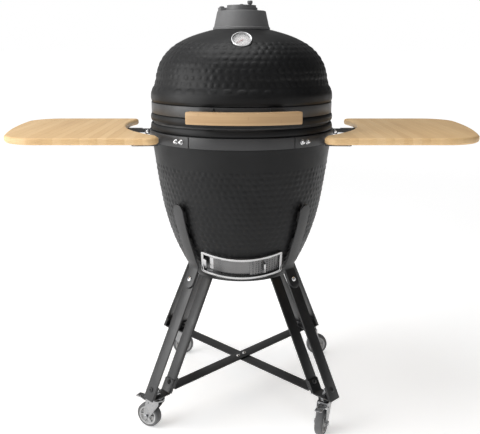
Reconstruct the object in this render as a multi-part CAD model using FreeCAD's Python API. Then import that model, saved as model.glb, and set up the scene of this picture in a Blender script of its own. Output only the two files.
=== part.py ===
import FreeCAD, Part
import math
import os

# A kamado: an egg-shaped ceramic grill with a hinged dome, two folding side shelves and a
# wheeled four-legged stand. Millimetres. +Z is up, the front faces -Y, and the origin is on
# the floor on the egg's axis, which is also the centre of the plan.

V = FreeCAD.Vector
UP = V(0, 0, 1)
ACROSS = V(1, 0, 0)
ORIGIN = V(0, 0, 0)

# Ceramic egg
EGG_FOOT_Z = 435.0
BASE_FOOT_R = 160.0
RIM_R = 270.0
BASE_TOP_Z = 886.0
DOME_BOTTOM_Z = 891.0
WALL = 25.0
MOUTH_R = RIM_R - WALL - 2.0
BAND_SEAT_R = 268.4
DOME_BAND_SEAT_R = 264.0
CHIMNEY_R = 55.0
COLLAR_R = 88.0
DOME_TOP_Z = 1147.0
GASKET = 2.4
GASKET_WIDTH = 20.0

# Steel bands round the two rims
BAND_T = 3.0
BAND_GAP = 0.15
BASE_BAND_Z = (835.0, 865.0)
DOME_BAND_Z = (915.0, 945.0)
BAND_PLATE_SPLIT = 31.5
FRONT_PLATE_GAP = 0.4
SIDE_PLATE_END = 128.0

# Inside the base
FIRE_BOX_FLOOR_Z = 520.0
FIRE_BOX_TOP_Z = 670.0
FIRE_RING_TOP_Z = 845.0
CHARCOAL_GRATE_R = 104.0
CHARCOAL_GRATE_T = 10.0
COOKING_GRATE_R = 222.0
GRATE_RIM_WIDTH = 5.0
GRATE_RIM_T = 8.0
GRATE_STRAP_T = 3.0
GRATE_WIRE_R = 2.5
GRATE_PITCH = 19.0

# Vent on the chimney
VENT_BASE_R = 80.0
VENT_TOP_R = 70.0
VENT_BOTTOM_Z = DOME_TOP_Z + 0.5
VENT_TOP_Z = 1200.0
VENT_WALL = 5.0
VENT_HOLE_R = 40.0
VENT_DISC_R = 46.0
VENT_DISC_T = 8.5
VENT_PIVOT = V(-57, 0, 0)
VENT_PIVOT_R = 4.0
DAISY_R = 42.0
DAISY_T = 6.4
DAISY_PIN_R = 5.0
KNOB_PLACE = V(24, -15, 0)
SLIP = 0.3
RUNNING = 0.06

# Thermometer on the dome front
GAUGE_R = 28.5
GAUGE_GLASS_R = 24.6
GAUGE_PLACE = V(0, -177, 1114)
GAUGE_TILT = 40.0
GAUGE_BACK = -6.0
GAUGE_FRONT = 9.0
GAUGE_STEM_R = 4.0
GAUGE_STEM_END = -80.0
GAUGE_SEAT_R = 32.0

# Handle
HANDLE_R = (307.0, 332.0)
HANDLE_Z = (906.0, 938.0)
HANDLE_ANGLES = (-26.0, 28.2)
HANDLE_BRACKET_ANGLE = 20.0

# Hinge behind the rims
HINGE_EAR_R = 14.0
HINGE_Y = HANDLE_R[1] - HINGE_EAR_R
HINGE_Z = 879.0
HINGE_PIN_R = 5.0
HINGE_BASE_EAR_X = 64.0
HINGE_DOME_EAR_X = 56.0
HINGE_EAR_T = 5.0
HINGE_PLATE_ANGLE = 16.0

# Side shelves
SHELF_TOP_Z = 864.0
SHELF_T = 20.0
SHELF_TIP_X = 705.0
SHELF_Y = (-245.0, 280.0)
SHELF_PIVOT_X = 304.0
SHELF_PIVOT_Z = 835.0
SHELF_PIN_R = 3.0
SHELF_ARM_Y = (-130.0, 150.0)
SHELF_ARM_T = 6.0
SHELF_ARM_END_X = 610.0
SHELF_EAR_T = 4.0
SHELF_EAR_R = 8.5

# Draft door near the foot, bent round a leaning cylinder
DOOR_R = 200.0
DOOR_TILT = 24.6
DOOR_SURFACE = V(0, -191.5, 481.0)
FRAME_HALF_HEIGHT = 39.0
FRAME_HALF_ANGLE = 35.0
WINDOW_ANGLES = (-25.5, 4.5)
WINDOW_HALF_HEIGHT = 24.0
PANEL_HALF_HEIGHT = 32.5

# Stand: four legs on the diagonals, each of two parallel flat bars
LEG_WIDTH = 40.0
LEG_T = 5.0
LEG_REF_R = 240.8
LEG_REF_Z = 375.0
LEG_SLOPE = 0.531
LEG_GAP = 70.0
LEG_TOP_Z = 455.0
LEG_FOOT_Z = 105.0
FOOT_T = 4.0
FOOT_FLANGE_Z = 142.0
BASE_RING_T = 6.0
BASE_RING_R = (118.0, 158.0)
CROSS_BAR_T = 4.0
CROSS_BAR_Z = 109.0
CRADLE_TOP_Z = 668.0
BOLT_R = 4.0

# Casters
WHEEL_R = 37.5
WHEEL_WIDTH = 24.0
TREAD_R = 29.0
AXLE_R = 4.0
TRAIL = 32.0
FORK_PLATE_Z = (94.0, 99.7)
FORK_PLATE_R = 21.0
FORK_INNER = 14.5
FORK_T = 2.5
KINGPIN_R = 5.0
BRAKE_PIVOT = V(24, 0, 84)
BRAKE_PIN_R = 2.5
# The way each wheel trails from its kingpin, in degrees from +X
TRAIL_ANGLES = {"front_left": 152.0, "front_right": -114.0, "rear_left": 8.0, "rear_right": 4.0}
LEG_ANGLES = {"front_left": -135.0, "front_right": -45.0, "rear_left": 135.0, "rear_right": 45.0}
BRAKED = ("front_left", "front_right")


def save(name, shape):
    """One sub-part, as one shape or as a list of separate solids."""
    if isinstance(shape, list):
        shape = Part.makeCompound(shape)
    shape.exportStep("parts/%s.step" % name)


def outline(start, *steps):
    """A closed wire in the XZ plane. A step is a point, or a list of points for a smooth curve."""
    here = V(start[0], 0, start[1])
    first = here
    edges = []
    for step in steps:
        if isinstance(step, list):
            points = [here] + [V(x, 0, z) for x, z in step]
            curve = Part.BSplineCurve()
            curve.interpolate(points)
            edges.append(curve.toShape())
            here = points[-1]
        else:
            end = V(step[0], 0, step[1])
            edges.append(Part.LineSegment(here, end).toShape())
            here = end
    edges.append(Part.LineSegment(here, first).toShape())
    return Part.Wire(edges)


def turned(wire):
    return Part.Face(wire).revolve(ORIGIN, UP, 360)


def cylinder(radius, z_low, z_high, x=0.0, y=0.0):
    return Part.makeCylinder(radius, z_high - z_low, V(x, y, z_low))


def tube(r_in, r_out, z_low, z_high):
    return cylinder(r_out, z_low, z_high).cut(cylinder(r_in, z_low - 1, z_high + 1))


def sector(r_in, r_out, z_low, z_high, angle_from, angle_to):
    """A piece of tube. Angles are from the front, positive to the right."""
    span = angle_to - angle_from
    outer = Part.makeCylinder(r_out, z_high - z_low, V(0, 0, z_low), UP, span)
    piece = outer.cut(cylinder(r_in, z_low - 1, z_high + 1))
    return piece.rotated(ORIGIN, UP, angle_from - 90)


def box(x, y, z):
    """A box from three (low, high) pairs."""
    return Part.makeBox(x[1] - x[0], y[1] - y[0], z[1] - z[0], V(x[0], y[0], z[0]))


def rod(radius, start, end):
    return Part.makeCylinder(radius, (end - start).Length, start, end - start)


def strip(points, thickness, width):
    """A flat bar bent along points in the XZ plane, with mitred corners, centred on Y."""
    sides = []
    for i, (x, z) in enumerate(points):
        before = V(*points[max(i - 1, 0)], 0)
        after = V(*points[min(i + 1, len(points) - 1)], 0)
        here = V(x, z, 0)
        into = (here - before) if i else (after - here)
        out = (after - here) if i < len(points) - 1 else into
        into.normalize()
        out.normalize()
        along = into + out
        along.normalize()
        normal = V(-along.y, along.x, 0)
        reach = thickness / 2 / along.dot(into)
        sides.append((here + normal * reach, here - normal * reach))
    ring = [side[0] for side in sides] + [side[1] for side in reversed(sides)]
    ring = [V(p.x, -width / 2, p.y) for p in ring]
    return Part.Face(Part.makePolygon(ring + ring[:1])).extrude(V(0, width, 0))


def hexagon(across_flats, z_low, z_high, x=0.0, y=0.0):
    r = across_flats / math.sqrt(3)
    ring = [V(x + r * math.cos(math.radians(a)), y + r * math.sin(math.radians(a)), z_low)
            for a in range(0, 361, 60)]
    return Part.Face(Part.makePolygon(ring)).extrude(V(0, 0, z_high - z_low))


def mirrored(shape):
    return shape.mirror(ORIGIN, ACROSS)


def on_leg(shape, corner):
    """Turns a shape built along +X onto the named corner's diagonal."""
    return shape.rotated(ORIGIN, UP, LEG_ANGLES[corner])


# Ceramic shells

def base_outside():
    return turned(outline(
        (0, EGG_FOOT_Z), (BASE_FOOT_R, EGG_FOOT_Z), (BASE_FOOT_R + 5, EGG_FOOT_Z + 5),
        [(197, 505), (234, 618), (255, 741), (266, 822)],
        (BAND_SEAT_R, BASE_BAND_Z[0] - 3), (BAND_SEAT_R, BASE_BAND_Z[1] + 2),
        [(RIM_R + 0.8, BASE_BAND_Z[1] + 8), (RIM_R - 2.5, BASE_TOP_Z)],
        (0, BASE_TOP_Z)))


def base_shell():
    inside = turned(outline(
        (0, EGG_FOOT_Z + WALL), (135, EGG_FOOT_Z + WALL),
        [(172, 514), (209, 624), (230, 745), (MOUTH_R - 1, 830)],
        (MOUTH_R, BASE_TOP_Z + 1), (0, BASE_TOP_Z + 1)))
    window = sector(110, DOOR_R, -WINDOW_HALF_HEIGHT, WINDOW_HALF_HEIGHT, *WINDOW_ANGLES)
    seat = sector(193.4, 250, -FRAME_HALF_HEIGHT - 0.2, FRAME_HALF_HEIGHT + 0.2,
                  -FRAME_HALF_ANGLE - 0.1, FRAME_HALF_ANGLE + 0.1)
    return base_outside().cut([inside, door_placed(window), door_placed(seat)])


def dome_shell():
    lip_z = DOME_BAND_Z[1] + 2
    outside = turned(outline(
        (0, DOME_BOTTOM_Z), (RIM_R - 3, DOME_BOTTOM_Z),
        [(RIM_R, DOME_BOTTOM_Z + 10), (RIM_R - 3, DOME_BAND_Z[0] - 2)],
        (DOME_BAND_SEAT_R, DOME_BAND_Z[0] - 1), (DOME_BAND_SEAT_R, DOME_BAND_Z[1] + 1),
        [(RIM_R - 2, lip_z + 8), (RIM_R - 2.5, 970), (257, 994), (249, 1028), (224, 1079),
         (182, 1113), (134, 1134), (COLLAR_R, DOME_TOP_Z)],
        (0, DOME_TOP_Z)))
    inside = turned(outline(
        (0, DOME_BOTTOM_Z - 1), (MOUTH_R, DOME_BOTTOM_Z - 1), (MOUTH_R, 945),
        [(235, 985), (225, 1026), (203, 1062), (164, 1091), (120, 1109), (CHIMNEY_R, 1123)],
        (0, 1123)))
    chimney = cylinder(CHIMNEY_R, 1100, DOME_TOP_Z + 1)
    seat = gauge_placed(cylinder(GAUGE_SEAT_R, GAUGE_BACK - 22, GAUGE_BACK))
    recess = gauge_placed(cylinder(GAUGE_R + 0.2, GAUGE_BACK, 60))
    stem = gauge_placed(cylinder(GAUGE_STEM_R + 0.3, GAUGE_STEM_END, 0))
    return outside.fuse(seat).cut([inside, chimney, recess, stem])


def gaskets():
    r_out = MOUTH_R + GASKET_WIDTH
    save("base_gasket", tube(MOUTH_R, r_out, BASE_TOP_Z, BASE_TOP_Z + GASKET))
    save("dome_gasket", tube(MOUTH_R, r_out, DOME_BOTTOM_Z - GASKET, DOME_BOTTOM_Z))


# Fire box, ring and grates

def fire_box():
    bottom = EGG_FOOT_Z + WALL
    outer = turned(outline((0, bottom), (128, bottom), (186, FIRE_BOX_TOP_Z), (0, FIRE_BOX_TOP_Z)))
    bowl = turned(outline((0, FIRE_BOX_FLOOR_Z + 20), (122, FIRE_BOX_FLOOR_Z + 20),
                          (166, FIRE_BOX_TOP_Z + 1), (0, FIRE_BOX_TOP_Z + 1)))
    under = turned(outline((0, bottom - 1), (106, bottom - 1), (122, FIRE_BOX_FLOOR_Z),
                           (0, FIRE_BOX_FLOOR_Z)))
    throat = cylinder(78, FIRE_BOX_FLOOR_Z - 1, FIRE_BOX_FLOOR_Z + 21)
    draught = box((-60, 40), (-200, -60), (bottom - 1, FIRE_BOX_FLOOR_Z - 12))
    return outer.cut([bowl, under, throat, draught])


def fire_ring():
    low = FIRE_BOX_TOP_Z
    high = FIRE_RING_TOP_Z
    return turned(outline((178, low), (204, low), (226, high), (206, high), (184, low + 24)))


def charcoal_grate():
    z = FIRE_BOX_FLOOR_Z + 20
    plate = cylinder(CHARCOAL_GRATE_R, z, z + CHARCOAL_GRATE_T)
    slots = []
    for i in range(-4, 5):
        half = math.sqrt(90.0 ** 2 - (i * 20.0) ** 2)
        slots.append(box((-half, -6), (i * 20 - 5, i * 20 + 5), (z - 1, z + CHARCOAL_GRATE_T + 1)))
        slots.append(box((6, half), (i * 20 - 5, i * 20 + 5), (z - 1, z + CHARCOAL_GRATE_T + 1)))
    return plate.cut(slots)


def cooking_grate():
    """Parallel rods let into a rim, over two cross straps."""
    low = FIRE_RING_TOP_Z
    z = low + GRATE_STRAP_T + GRATE_WIRE_R - 1
    inner_r = COOKING_GRATE_R - GRATE_RIM_WIDTH
    rim = tube(inner_r, COOKING_GRATE_R, low, low + GRATE_RIM_T)
    bars = []
    count = int(inner_r // GRATE_PITCH)
    for i in range(-count, count + 1):
        x = i * GRATE_PITCH
        half = math.sqrt((inner_r + 2) ** 2 - x ** 2)
        bars.append(rod(GRATE_WIRE_R, V(x, -half, z), V(x, half, z)))
    for y in (-75, 75):
        half = math.sqrt((inner_r + 2) ** 2 - (abs(y) + 4) ** 2)
        bars.append(box((-half, half), (y - 4, y + 4), (low + 0.5, low + GRATE_STRAP_T)))
    return rim.fuse(bars)


# Bands and their fastenings

def bands():
    r_base = BAND_SEAT_R + BAND_GAP
    r_dome = DOME_BAND_SEAT_R + BAND_GAP
    save("base_band", tube(r_base, r_base + BAND_T, *BASE_BAND_Z))
    save("dome_band", tube(r_dome, r_dome + BAND_T, *DOME_BAND_Z))
    r_plate = plate_radius()
    split = BAND_PLATE_SPLIT - FRONT_PLATE_GAP
    save("front_band_plate", sector(r_plate, r_plate + BAND_T, *BASE_BAND_Z, -split, split))


def plate_radius():
    """The inside of the plates that lie over the base band."""
    return BAND_SEAT_R + 2 * BAND_GAP + BAND_T


def acorn_nuts():
    """Domed nuts in pairs beside each joint of the band plates."""
    r = plate_radius() + BAND_T + 0.1
    z = sum(BASE_BAND_Z) / 2
    nuts = []
    for angle in (-40.5, -36.5, 36.5, 40.5):
        seat = hexagon(10, 0, 5)
        dome = Part.makeSphere(4.6, V(0, 0, 4.6)).common(cylinder(10, 4, 12))
        nut = seat.fuse(dome).rotated(ORIGIN, ACROSS, 90).translated(V(0, -r, z))
        nuts.append(nut.rotated(ORIGIN, UP, angle))
    return nuts


# Vent

def vent_body():
    outer = turned(outline((0, VENT_BOTTOM_Z), (VENT_BASE_R + 3, VENT_BOTTOM_Z),
                           (VENT_BASE_R + 3, VENT_BOTTOM_Z + 6), (VENT_BASE_R, VENT_BOTTOM_Z + 8),
                           (VENT_TOP_R, VENT_TOP_Z), (0, VENT_TOP_Z)))
    inner = turned(outline((0, VENT_BOTTOM_Z - 1), (VENT_BASE_R - VENT_WALL, VENT_BOTTOM_Z - 1),
                           (VENT_TOP_R - VENT_WALL, VENT_TOP_Z - VENT_WALL),
                           (0, VENT_TOP_Z - VENT_WALL)))
    hole = cylinder(VENT_HOLE_R, VENT_TOP_Z - 10, VENT_TOP_Z + 1)
    pivot_hole = cylinder(VENT_PIVOT_R, VENT_TOP_Z - 10, VENT_TOP_Z + 1, VENT_PIVOT.x)
    return outer.cut([inner, hole, pivot_hole])


def petals(radius, z_low, z_high, turn):
    """Five round air holes in a ring."""
    holes = []
    for i in range(5):
        hole = cylinder(9, z_low - 1, z_high + 1, radius)
        holes.append(hole.rotated(ORIGIN, UP, i * 72 + turn))
    return holes


def vent_disc():
    z = VENT_TOP_Z + SLIP
    ear = cylinder(11, z, z + VENT_DISC_T, VENT_PIVOT.x)
    neck = box((VENT_PIVOT.x, 0), (-11, 11), (z, z + VENT_DISC_T))
    plate = cylinder(VENT_DISC_R, z, z + VENT_DISC_T).fuse([ear, neck])
    pivot = cylinder(VENT_PIVOT_R + RUNNING, z - 1, z + VENT_DISC_T + 1, VENT_PIVOT.x)
    pin = cylinder(DAISY_PIN_R, z + VENT_DISC_T, z + VENT_DISC_T + DAISY_T + 4)
    return plate.cut([pivot] + petals(24, z, z + VENT_DISC_T, 36)).fuse(pin)


def daisy_wheel():
    z = VENT_TOP_Z + VENT_DISC_T + 2 * SLIP
    bore = cylinder(DAISY_PIN_R + RUNNING, z - 1, z + DAISY_T + 1)
    return cylinder(DAISY_R, z, z + DAISY_T).cut([bore] + petals(24, z, z + DAISY_T, 0))


def vent_knob():
    z = VENT_TOP_Z + VENT_DISC_T + DAISY_T + 2 * SLIP
    knob = outline((0, z), (5, z), (5, z + 3), (7.5, z + 4.5), (7.5, z + 11), (6.5, z + 12.1),
                   (0, z + 12.1))
    return turned(knob).translated(KNOB_PLACE)


def vent_pivot():
    z = VENT_TOP_Z
    shank = cylinder(VENT_PIVOT_R, z - 9, z + VENT_DISC_T + 1.5, VENT_PIVOT.x)
    head = cylinder(7.5, z + VENT_DISC_T + 1.0, z + VENT_DISC_T + 5, VENT_PIVOT.x)
    nut = hexagon(10, z - 9, z - VENT_WALL, VENT_PIVOT.x)
    return shank.fuse([head, nut])


# Thermometer, built along +Z and then leant out of the dome

def gauge_placed(shape):
    return shape.rotated(ORIGIN, ACROSS, GAUGE_TILT).translated(GAUGE_PLACE)


def thermometer():
    case = cylinder(GAUGE_R, GAUGE_BACK, GAUGE_FRONT).cut(cylinder(GAUGE_GLASS_R, 0, GAUGE_FRONT + 1))
    lip = tube(GAUGE_GLASS_R - 1.6, GAUGE_R - 1, GAUGE_FRONT - 1.5, GAUGE_FRONT)
    stem = cylinder(GAUGE_STEM_R, GAUGE_STEM_END, GAUGE_BACK + 1)
    save("thermometer_case", gauge_placed(case.fuse([lip, stem])))
    dial = cylinder(GAUGE_GLASS_R - 0.05, 0, 1.5)
    post = cylinder(1.0, 1.5, 4.0)
    save("thermometer_dial", gauge_placed(dial.fuse(post)))
    hub = cylinder(2.6, 2.2, 3.4)
    blade = box((-0.7, 0.7), (-6, 18.5), (2.4, 3.2))
    needle = hub.fuse(blade).cut(cylinder(1.0 + RUNNING, 1, 5))
    save("thermometer_needle", gauge_placed(needle.rotated(ORIGIN, UP, 128)))
    glass = cylinder(GAUGE_GLASS_R - 0.05, GAUGE_FRONT - 3.6, GAUGE_FRONT - 1.5)
    save("thermometer_glass", gauge_placed(glass))


# Handle

def handle():
    middle = (HANDLE_R[0] + HANDLE_R[1]) / 2
    z = (HANDLE_Z[0] + HANDLE_Z[1]) / 2
    grip = sector(*HANDLE_R, *HANDLE_Z, *HANDLE_ANGLES)
    start = DOME_BAND_SEAT_R + BAND_GAP + BAND_T
    brackets = []
    screws = []
    for angle in (-HANDLE_BRACKET_ANGLE, HANDLE_BRACKET_ANGLE):
        arm = box((-11, 11), (-HANDLE_R[0] + 0.5, -start + 6), (z - 8, z + 8))
        foot = box((-19, 19), (-start - 5, -start + 6), (DOME_BAND_Z[0] + 1, DOME_BAND_Z[1] - 1))
        pad = box((-17, 17), (-HANDLE_R[0] - 1, -HANDLE_R[0] + 5), (z - 13, z + 13))
        arm = arm.fuse([foot, pad]).rotated(ORIGIN, UP, angle)
        arm = arm.cut([cylinder(start + 0.05, 800, 1000), grip])
        for x in (-14, 14):
            shank = rod(2.5, V(x, -middle, z), V(x, -HANDLE_R[0] + 5, z))
            head = rod(4.5, V(x, -HANDLE_R[0] + 5, z), V(x, -HANDLE_R[0] + 8, z))
            screws.append(shank.fuse(head).rotated(ORIGIN, UP, angle))
        brackets.append(arm.cut(screws))
    save("handle_grip", grip.cut(screws))
    save("handle_brackets", brackets)
    save("handle_screws", screws)


# Dome hinge

def hinge_ear(x, z_to, y_from, z_low):
    """An upright plate that runs back from a rim to the hinge pin."""
    body = box((x, x + HINGE_EAR_T), (y_from, HINGE_Y), (z_low, z_to))
    eye = Part.makeCylinder(HINGE_EAR_R, HINGE_EAR_T, V(x, HINGE_Y, HINGE_Z), ACROSS)
    return body.fuse(eye)


def hinge():
    bore = rod(HINGE_PIN_R + RUNNING, V(-100, HINGE_Y, HINGE_Z), V(100, HINGE_Y, HINGE_Z))
    half = HINGE_PLATE_ANGLE
    r_base = plate_radius()
    r_dome = DOME_BAND_SEAT_R + BAND_T + 2 * BAND_GAP
    base = sector(r_base, r_base + BAND_T, 826, BASE_BAND_Z[1] + 1, 180 - half, 180 + half)
    dome = sector(r_dome, r_dome + BAND_T, *DOME_BAND_Z, 180 - half, 180 + half)
    keep_off_base = cylinder(r_base, 800, 1000)
    keep_off_dome = cylinder(r_dome, 800, 1000)
    base_ears = []
    dome_ears = []
    for x in (-HINGE_BASE_EAR_X, HINGE_BASE_EAR_X - HINGE_EAR_T):
        base_ears.append(hinge_ear(x, HINGE_Z + 4, 255, 830).cut(
            box((-100, 100), (250, RIM_R + 9), (BASE_BAND_Z[1] + 1, 950))))
    for x in (-HINGE_DOME_EAR_X, HINGE_DOME_EAR_X - HINGE_EAR_T):
        link = strip([(255, 930), (HINGE_Y - 26, 930), (HINGE_Y, HINGE_Z + 8)], 22, HINGE_EAR_T)
        link = link.rotated(ORIGIN, UP, 90).translated(V(x + HINGE_EAR_T / 2, 0, 0))
        eye = Part.makeCylinder(HINGE_EAR_R - 1, HINGE_EAR_T, V(x, HINGE_Y, HINGE_Z), ACROSS)
        dome_ears.append(link.fuse(eye))
    save("hinge_base_bracket", base.fuse(base_ears).cut([bore, keep_off_base]))
    save("hinge_dome_bracket", dome.fuse(dome_ears).cut([bore, keep_off_dome]))
    end = HINGE_BASE_EAR_X + 6
    pin = rod(HINGE_PIN_R, V(-end, HINGE_Y, HINGE_Z), V(end, HINGE_Y, HINGE_Z))
    heads = []
    for x in (-end, end - 5.8):
        heads.append(rod(8.5, V(x, HINGE_Y, HINGE_Z), V(x + 5.8, HINGE_Y, HINGE_Z)))
    save("hinge_pin", pin.fuse(heads))
    springs = []
    for x in (-49.0, 4.0):
        coil = Part.makeCylinder(11, 45, V(x, HINGE_Y, HINGE_Z), ACROSS)
        springs.append(coil.cut(Part.makeCylinder(7, 47, V(x - 1, HINGE_Y, HINGE_Z), ACROSS)))
    save("hinge_springs", springs)


# Side shelves; the right one is drawn and the left one is its mirror image

def shelf_board():
    z = SHELF_TOP_Z - SHELF_T
    front, back = SHELF_Y
    tip = SHELF_TIP_X
    points = {
        "horn": V(262, front, z), "front": V(555, front, z), "corner": V(662, -162, z),
        "tip": V(tip, 185, z), "back": V(610, back, z), "back_horn": V(372, back, z),
        "back_inner": V(350, back - 26, z), "notch": V(357, 52, z), "inner": V(236, -178, z),
        "horn_tip": V(225, -212, z), "horn_round": V(235, front + 8, z)}
    p = points
    edges = [
        Part.LineSegment(p["horn"], p["front"]),
        Part.Arc(p["front"], V(623, -222, z), p["corner"]),
        Part.Arc(p["corner"], V(694, 10, z), p["tip"]),
        Part.Arc(p["tip"], V(677, 252, z), p["back"]),
        Part.LineSegment(p["back"], p["back_horn"]),
        Part.Arc(p["back_horn"], V(355, back - 8, z), p["back_inner"]),
        Part.Arc(p["back_inner"], p["notch"], p["inner"]),
        Part.LineSegment(p["inner"], p["horn_tip"]),
        Part.Arc(p["horn_tip"], p["horn_round"], p["horn"])]
    board = Part.Face(Part.Wire([e.toShape() for e in edges])).extrude(V(0, 0, SHELF_T))
    rims = [e for e in board.Edges if abs(e.BoundBox.ZLength) < 0.01]
    return board.makeFillet(5, rims)


def shelf_arm(y):
    """A flat bar on edge under the board, with an eye at the shelf's pivot."""
    half = SHELF_ARM_T / 2
    under = SHELF_TOP_Z - SHELF_T
    low = SHELF_PIVOT_Z - 4
    bar = box((SHELF_PIVOT_X, SHELF_ARM_END_X), (y - half, y + half), (low, under))
    flange = box((SHELF_PIVOT_X + 20, SHELF_ARM_END_X), (y - half, y + 22), (under - 3, under))
    eye = Part.makeCylinder(8, SHELF_ARM_T, V(SHELF_PIVOT_X, y - half, SHELF_PIVOT_Z), V(0, 1, 0))
    bore = Part.makeCylinder(SHELF_PIN_R + RUNNING, 40, V(SHELF_PIVOT_X, y - 20, SHELF_PIVOT_Z),
                             V(0, 1, 0))
    return bar.fuse([flange, eye]).cut(bore)


def shelf_bracket():
    """A curved plate over the base band, with a pair of ears for each arm."""
    r = plate_radius()
    plate = sector(r, r + BAND_T, *BASE_BAND_Z, BAND_PLATE_SPLIT, SIDE_PLATE_END)
    ears = []
    for y in SHELF_ARM_Y:
        for side in (-1, 1):
            middle = y + side * (SHELF_ARM_T / 2 + SLIP + SHELF_EAR_T / 2)
            low = middle - SHELF_EAR_T / 2
            z = (SHELF_PIVOT_Z - SHELF_EAR_R, SHELF_PIVOT_Z + SHELF_EAR_R)
            ears.append(box((200, SHELF_PIVOT_X), (low, low + SHELF_EAR_T), z))
            ears.append(Part.makeCylinder(SHELF_EAR_R, SHELF_EAR_T,
                                          V(SHELF_PIVOT_X, low, SHELF_PIVOT_Z), V(0, 1, 0)))
    pins = [pin.common(box((280, 330), (-300, 300), (800, 900))) for pin in shelf_pins()]
    return plate.fuse(ears).cut([cylinder(r, 800, 900)] + pins)


def shelf_pins():
    """The bolt through each arm and its two ears, with a domed nut on the outside."""
    reach = SHELF_ARM_T / 2 + SLIP + SHELF_EAR_T
    pins = []
    for y in SHELF_ARM_Y:
        low = V(SHELF_PIVOT_X, y - reach - 4, SHELF_PIVOT_Z)
        high = V(SHELF_PIVOT_X, y + reach + 4, SHELF_PIVOT_Z)
        shank = rod(SHELF_PIN_R, low, high)
        head = rod(6, low, V(low.x, y - reach, low.z))
        nut = rod(6, V(low.x, y + reach, low.z), high)
        pins.append(shank.fuse([head, nut]))
    return pins


def shelves():
    arms = [shelf_arm(y) for y in SHELF_ARM_Y]
    save("shelf_right", shelf_board())
    save("shelf_left", mirrored(shelf_board()))
    save("shelf_arms_right", arms)
    save("shelf_arms_left", [mirrored(arm) for arm in arms])
    save("shelf_brackets", [shelf_bracket(), mirrored(shelf_bracket())])
    pins = shelf_pins()
    save("bracket_fasteners", acorn_nuts() + pins + [mirrored(pin) for pin in pins])


# Draft door, built round a vertical cylinder and then leant out

def door_placed(shape):
    lean = math.radians(DOOR_TILT)
    shift = DOOR_SURFACE + V(0, DOOR_R * math.cos(lean), DOOR_R * math.sin(lean))
    return shape.rotated(ORIGIN, ACROSS, DOOR_TILT).translated(shift)


def draft_frame():
    half = FRAME_HALF_HEIGHT
    inner = FRAME_HALF_ANGLE - 1.4
    frame = sector(193.5, 206, -half, half, -FRAME_HALF_ANGLE, FRAME_HALF_ANGLE)
    channel = sector(195.5, 203.5, -half + 6, half - 6, -inner, inner)
    front = sector(203, 207, -half + 9, half - 9, -inner + 0.6, inner - 0.6)
    window = sector(193, 196, -WINDOW_HALF_HEIGHT, WINDOW_HALF_HEIGHT, *WINDOW_ANGLES)
    return door_placed(frame.cut([channel, front, window]))


def draft_door():
    """The plain panel in the inner track, with a finger curl at its left end."""
    panel = sector(196, 197.5, -PANEL_HALF_HEIGHT, PANEL_HALF_HEIGHT, -33.3, 9.5)
    stalk = sector(197, 208, -15, 15, -32.2, -31.6)
    curl = sector(207, 208.2, -15, 15, -32.2, -29.8)
    return door_placed(panel.fuse([stalk, curl]))


def draft_screen():
    """The punched panel in the outer track, with a loop to pull it by."""
    panel = sector(199.5, 201, -PANEL_HALF_HEIGHT, PANEL_HALF_HEIGHT, 7, 33.3)
    holes = []
    for column in range(10):
        angle = 9.4 + column * 2.4
        if abs(angle - 19) < 2:
            continue
        for row in range(-3, 4):
            hole = rod(2.2, V(0, -198, row * 8), V(0, -203, row * 8))
            holes.append(hole.rotated(ORIGIN, UP, angle))
    loop = sector(200.5, 211, -16, 16, 18, 19.2).cut(sector(200, 208, -12, 12, 17, 20))
    return door_placed(panel.cut(holes).fuse(loop))


# Stand; each leg is built along +X and turned onto its diagonal

def leg_r(z):
    """Where the middle of the outer bar is at height z."""
    return LEG_REF_R + (LEG_REF_Z - z) * LEG_SLOPE


def outer_bar():
    low = LEG_FOOT_Z - 20
    bar = strip([(leg_r(LEG_TOP_Z), LEG_TOP_Z), (leg_r(low), low)], LEG_T, LEG_WIDTH)
    return bar.common(box((0, 500), (-50, 50), (LEG_FOOT_Z, 600)))


def inner_bar():
    low = LEG_FOOT_Z - 20
    high = EGG_FOOT_Z + 10
    ring_z = EGG_FOOT_Z - BASE_RING_T
    bar = strip([(leg_r(high) - LEG_GAP, high), (leg_r(low) - LEG_GAP, low)], LEG_T, LEG_WIDTH)
    return bar.common(box((0, 500), (-50, 50), (LEG_FOOT_Z, ring_z)))


def lean_offset(thickness):
    """Half of a leaning bar's horizontal depth."""
    return thickness / 2 * math.sqrt(1 + LEG_SLOPE ** 2)


def foot_bracket():
    """A bent strap between the two bars of a leg, which carries the caster."""
    clear = lean_offset(LEG_T) + lean_offset(FOOT_T) + 0.05
    low = LEG_FOOT_Z + FOOT_T / 2
    high = FOOT_FLANGE_Z
    points = [(leg_r(high) - LEG_GAP + clear, high), (leg_r(low) - LEG_GAP + clear, low),
              (leg_r(low) - clear, low), (leg_r(high) - clear, high)]
    hole = cylinder(6.05, LEG_FOOT_Z - 5, LEG_FOOT_Z + 20, caster_r())
    return strip(points, FOOT_T, LEG_WIDTH).cut(hole)


def caster_r():
    return leg_r(LEG_FOOT_Z) - LEG_GAP / 2


def cradle_arm():
    """A strap up the side of the egg, whose lower tongue is bolted to the outer bar."""
    tongue = lean_offset(LEG_T) * 2 + 0.05
    bolt_z = 432.0
    points = [(256, CRADLE_TOP_Z), (251.5, 640), (240.5, 592), (219.5, 530), (206.5, 492),
              (leg_r(470) + tongue, 470), (leg_r(bolt_z - 22) + tongue, bolt_z - 22)]
    arm = strip(points, LEG_T, LEG_WIDTH)
    half = LEG_WIDTH / 2
    top = CRADLE_TOP_Z - half
    foot = bolt_z - 22 + half
    face = box((100, 300), (-half, half), (foot, top))
    ends = [Part.makeCylinder(half, 200, V(100, 0, z), ACROSS) for z in (top, foot)]
    return arm.common(face.fuse(ends))


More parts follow.
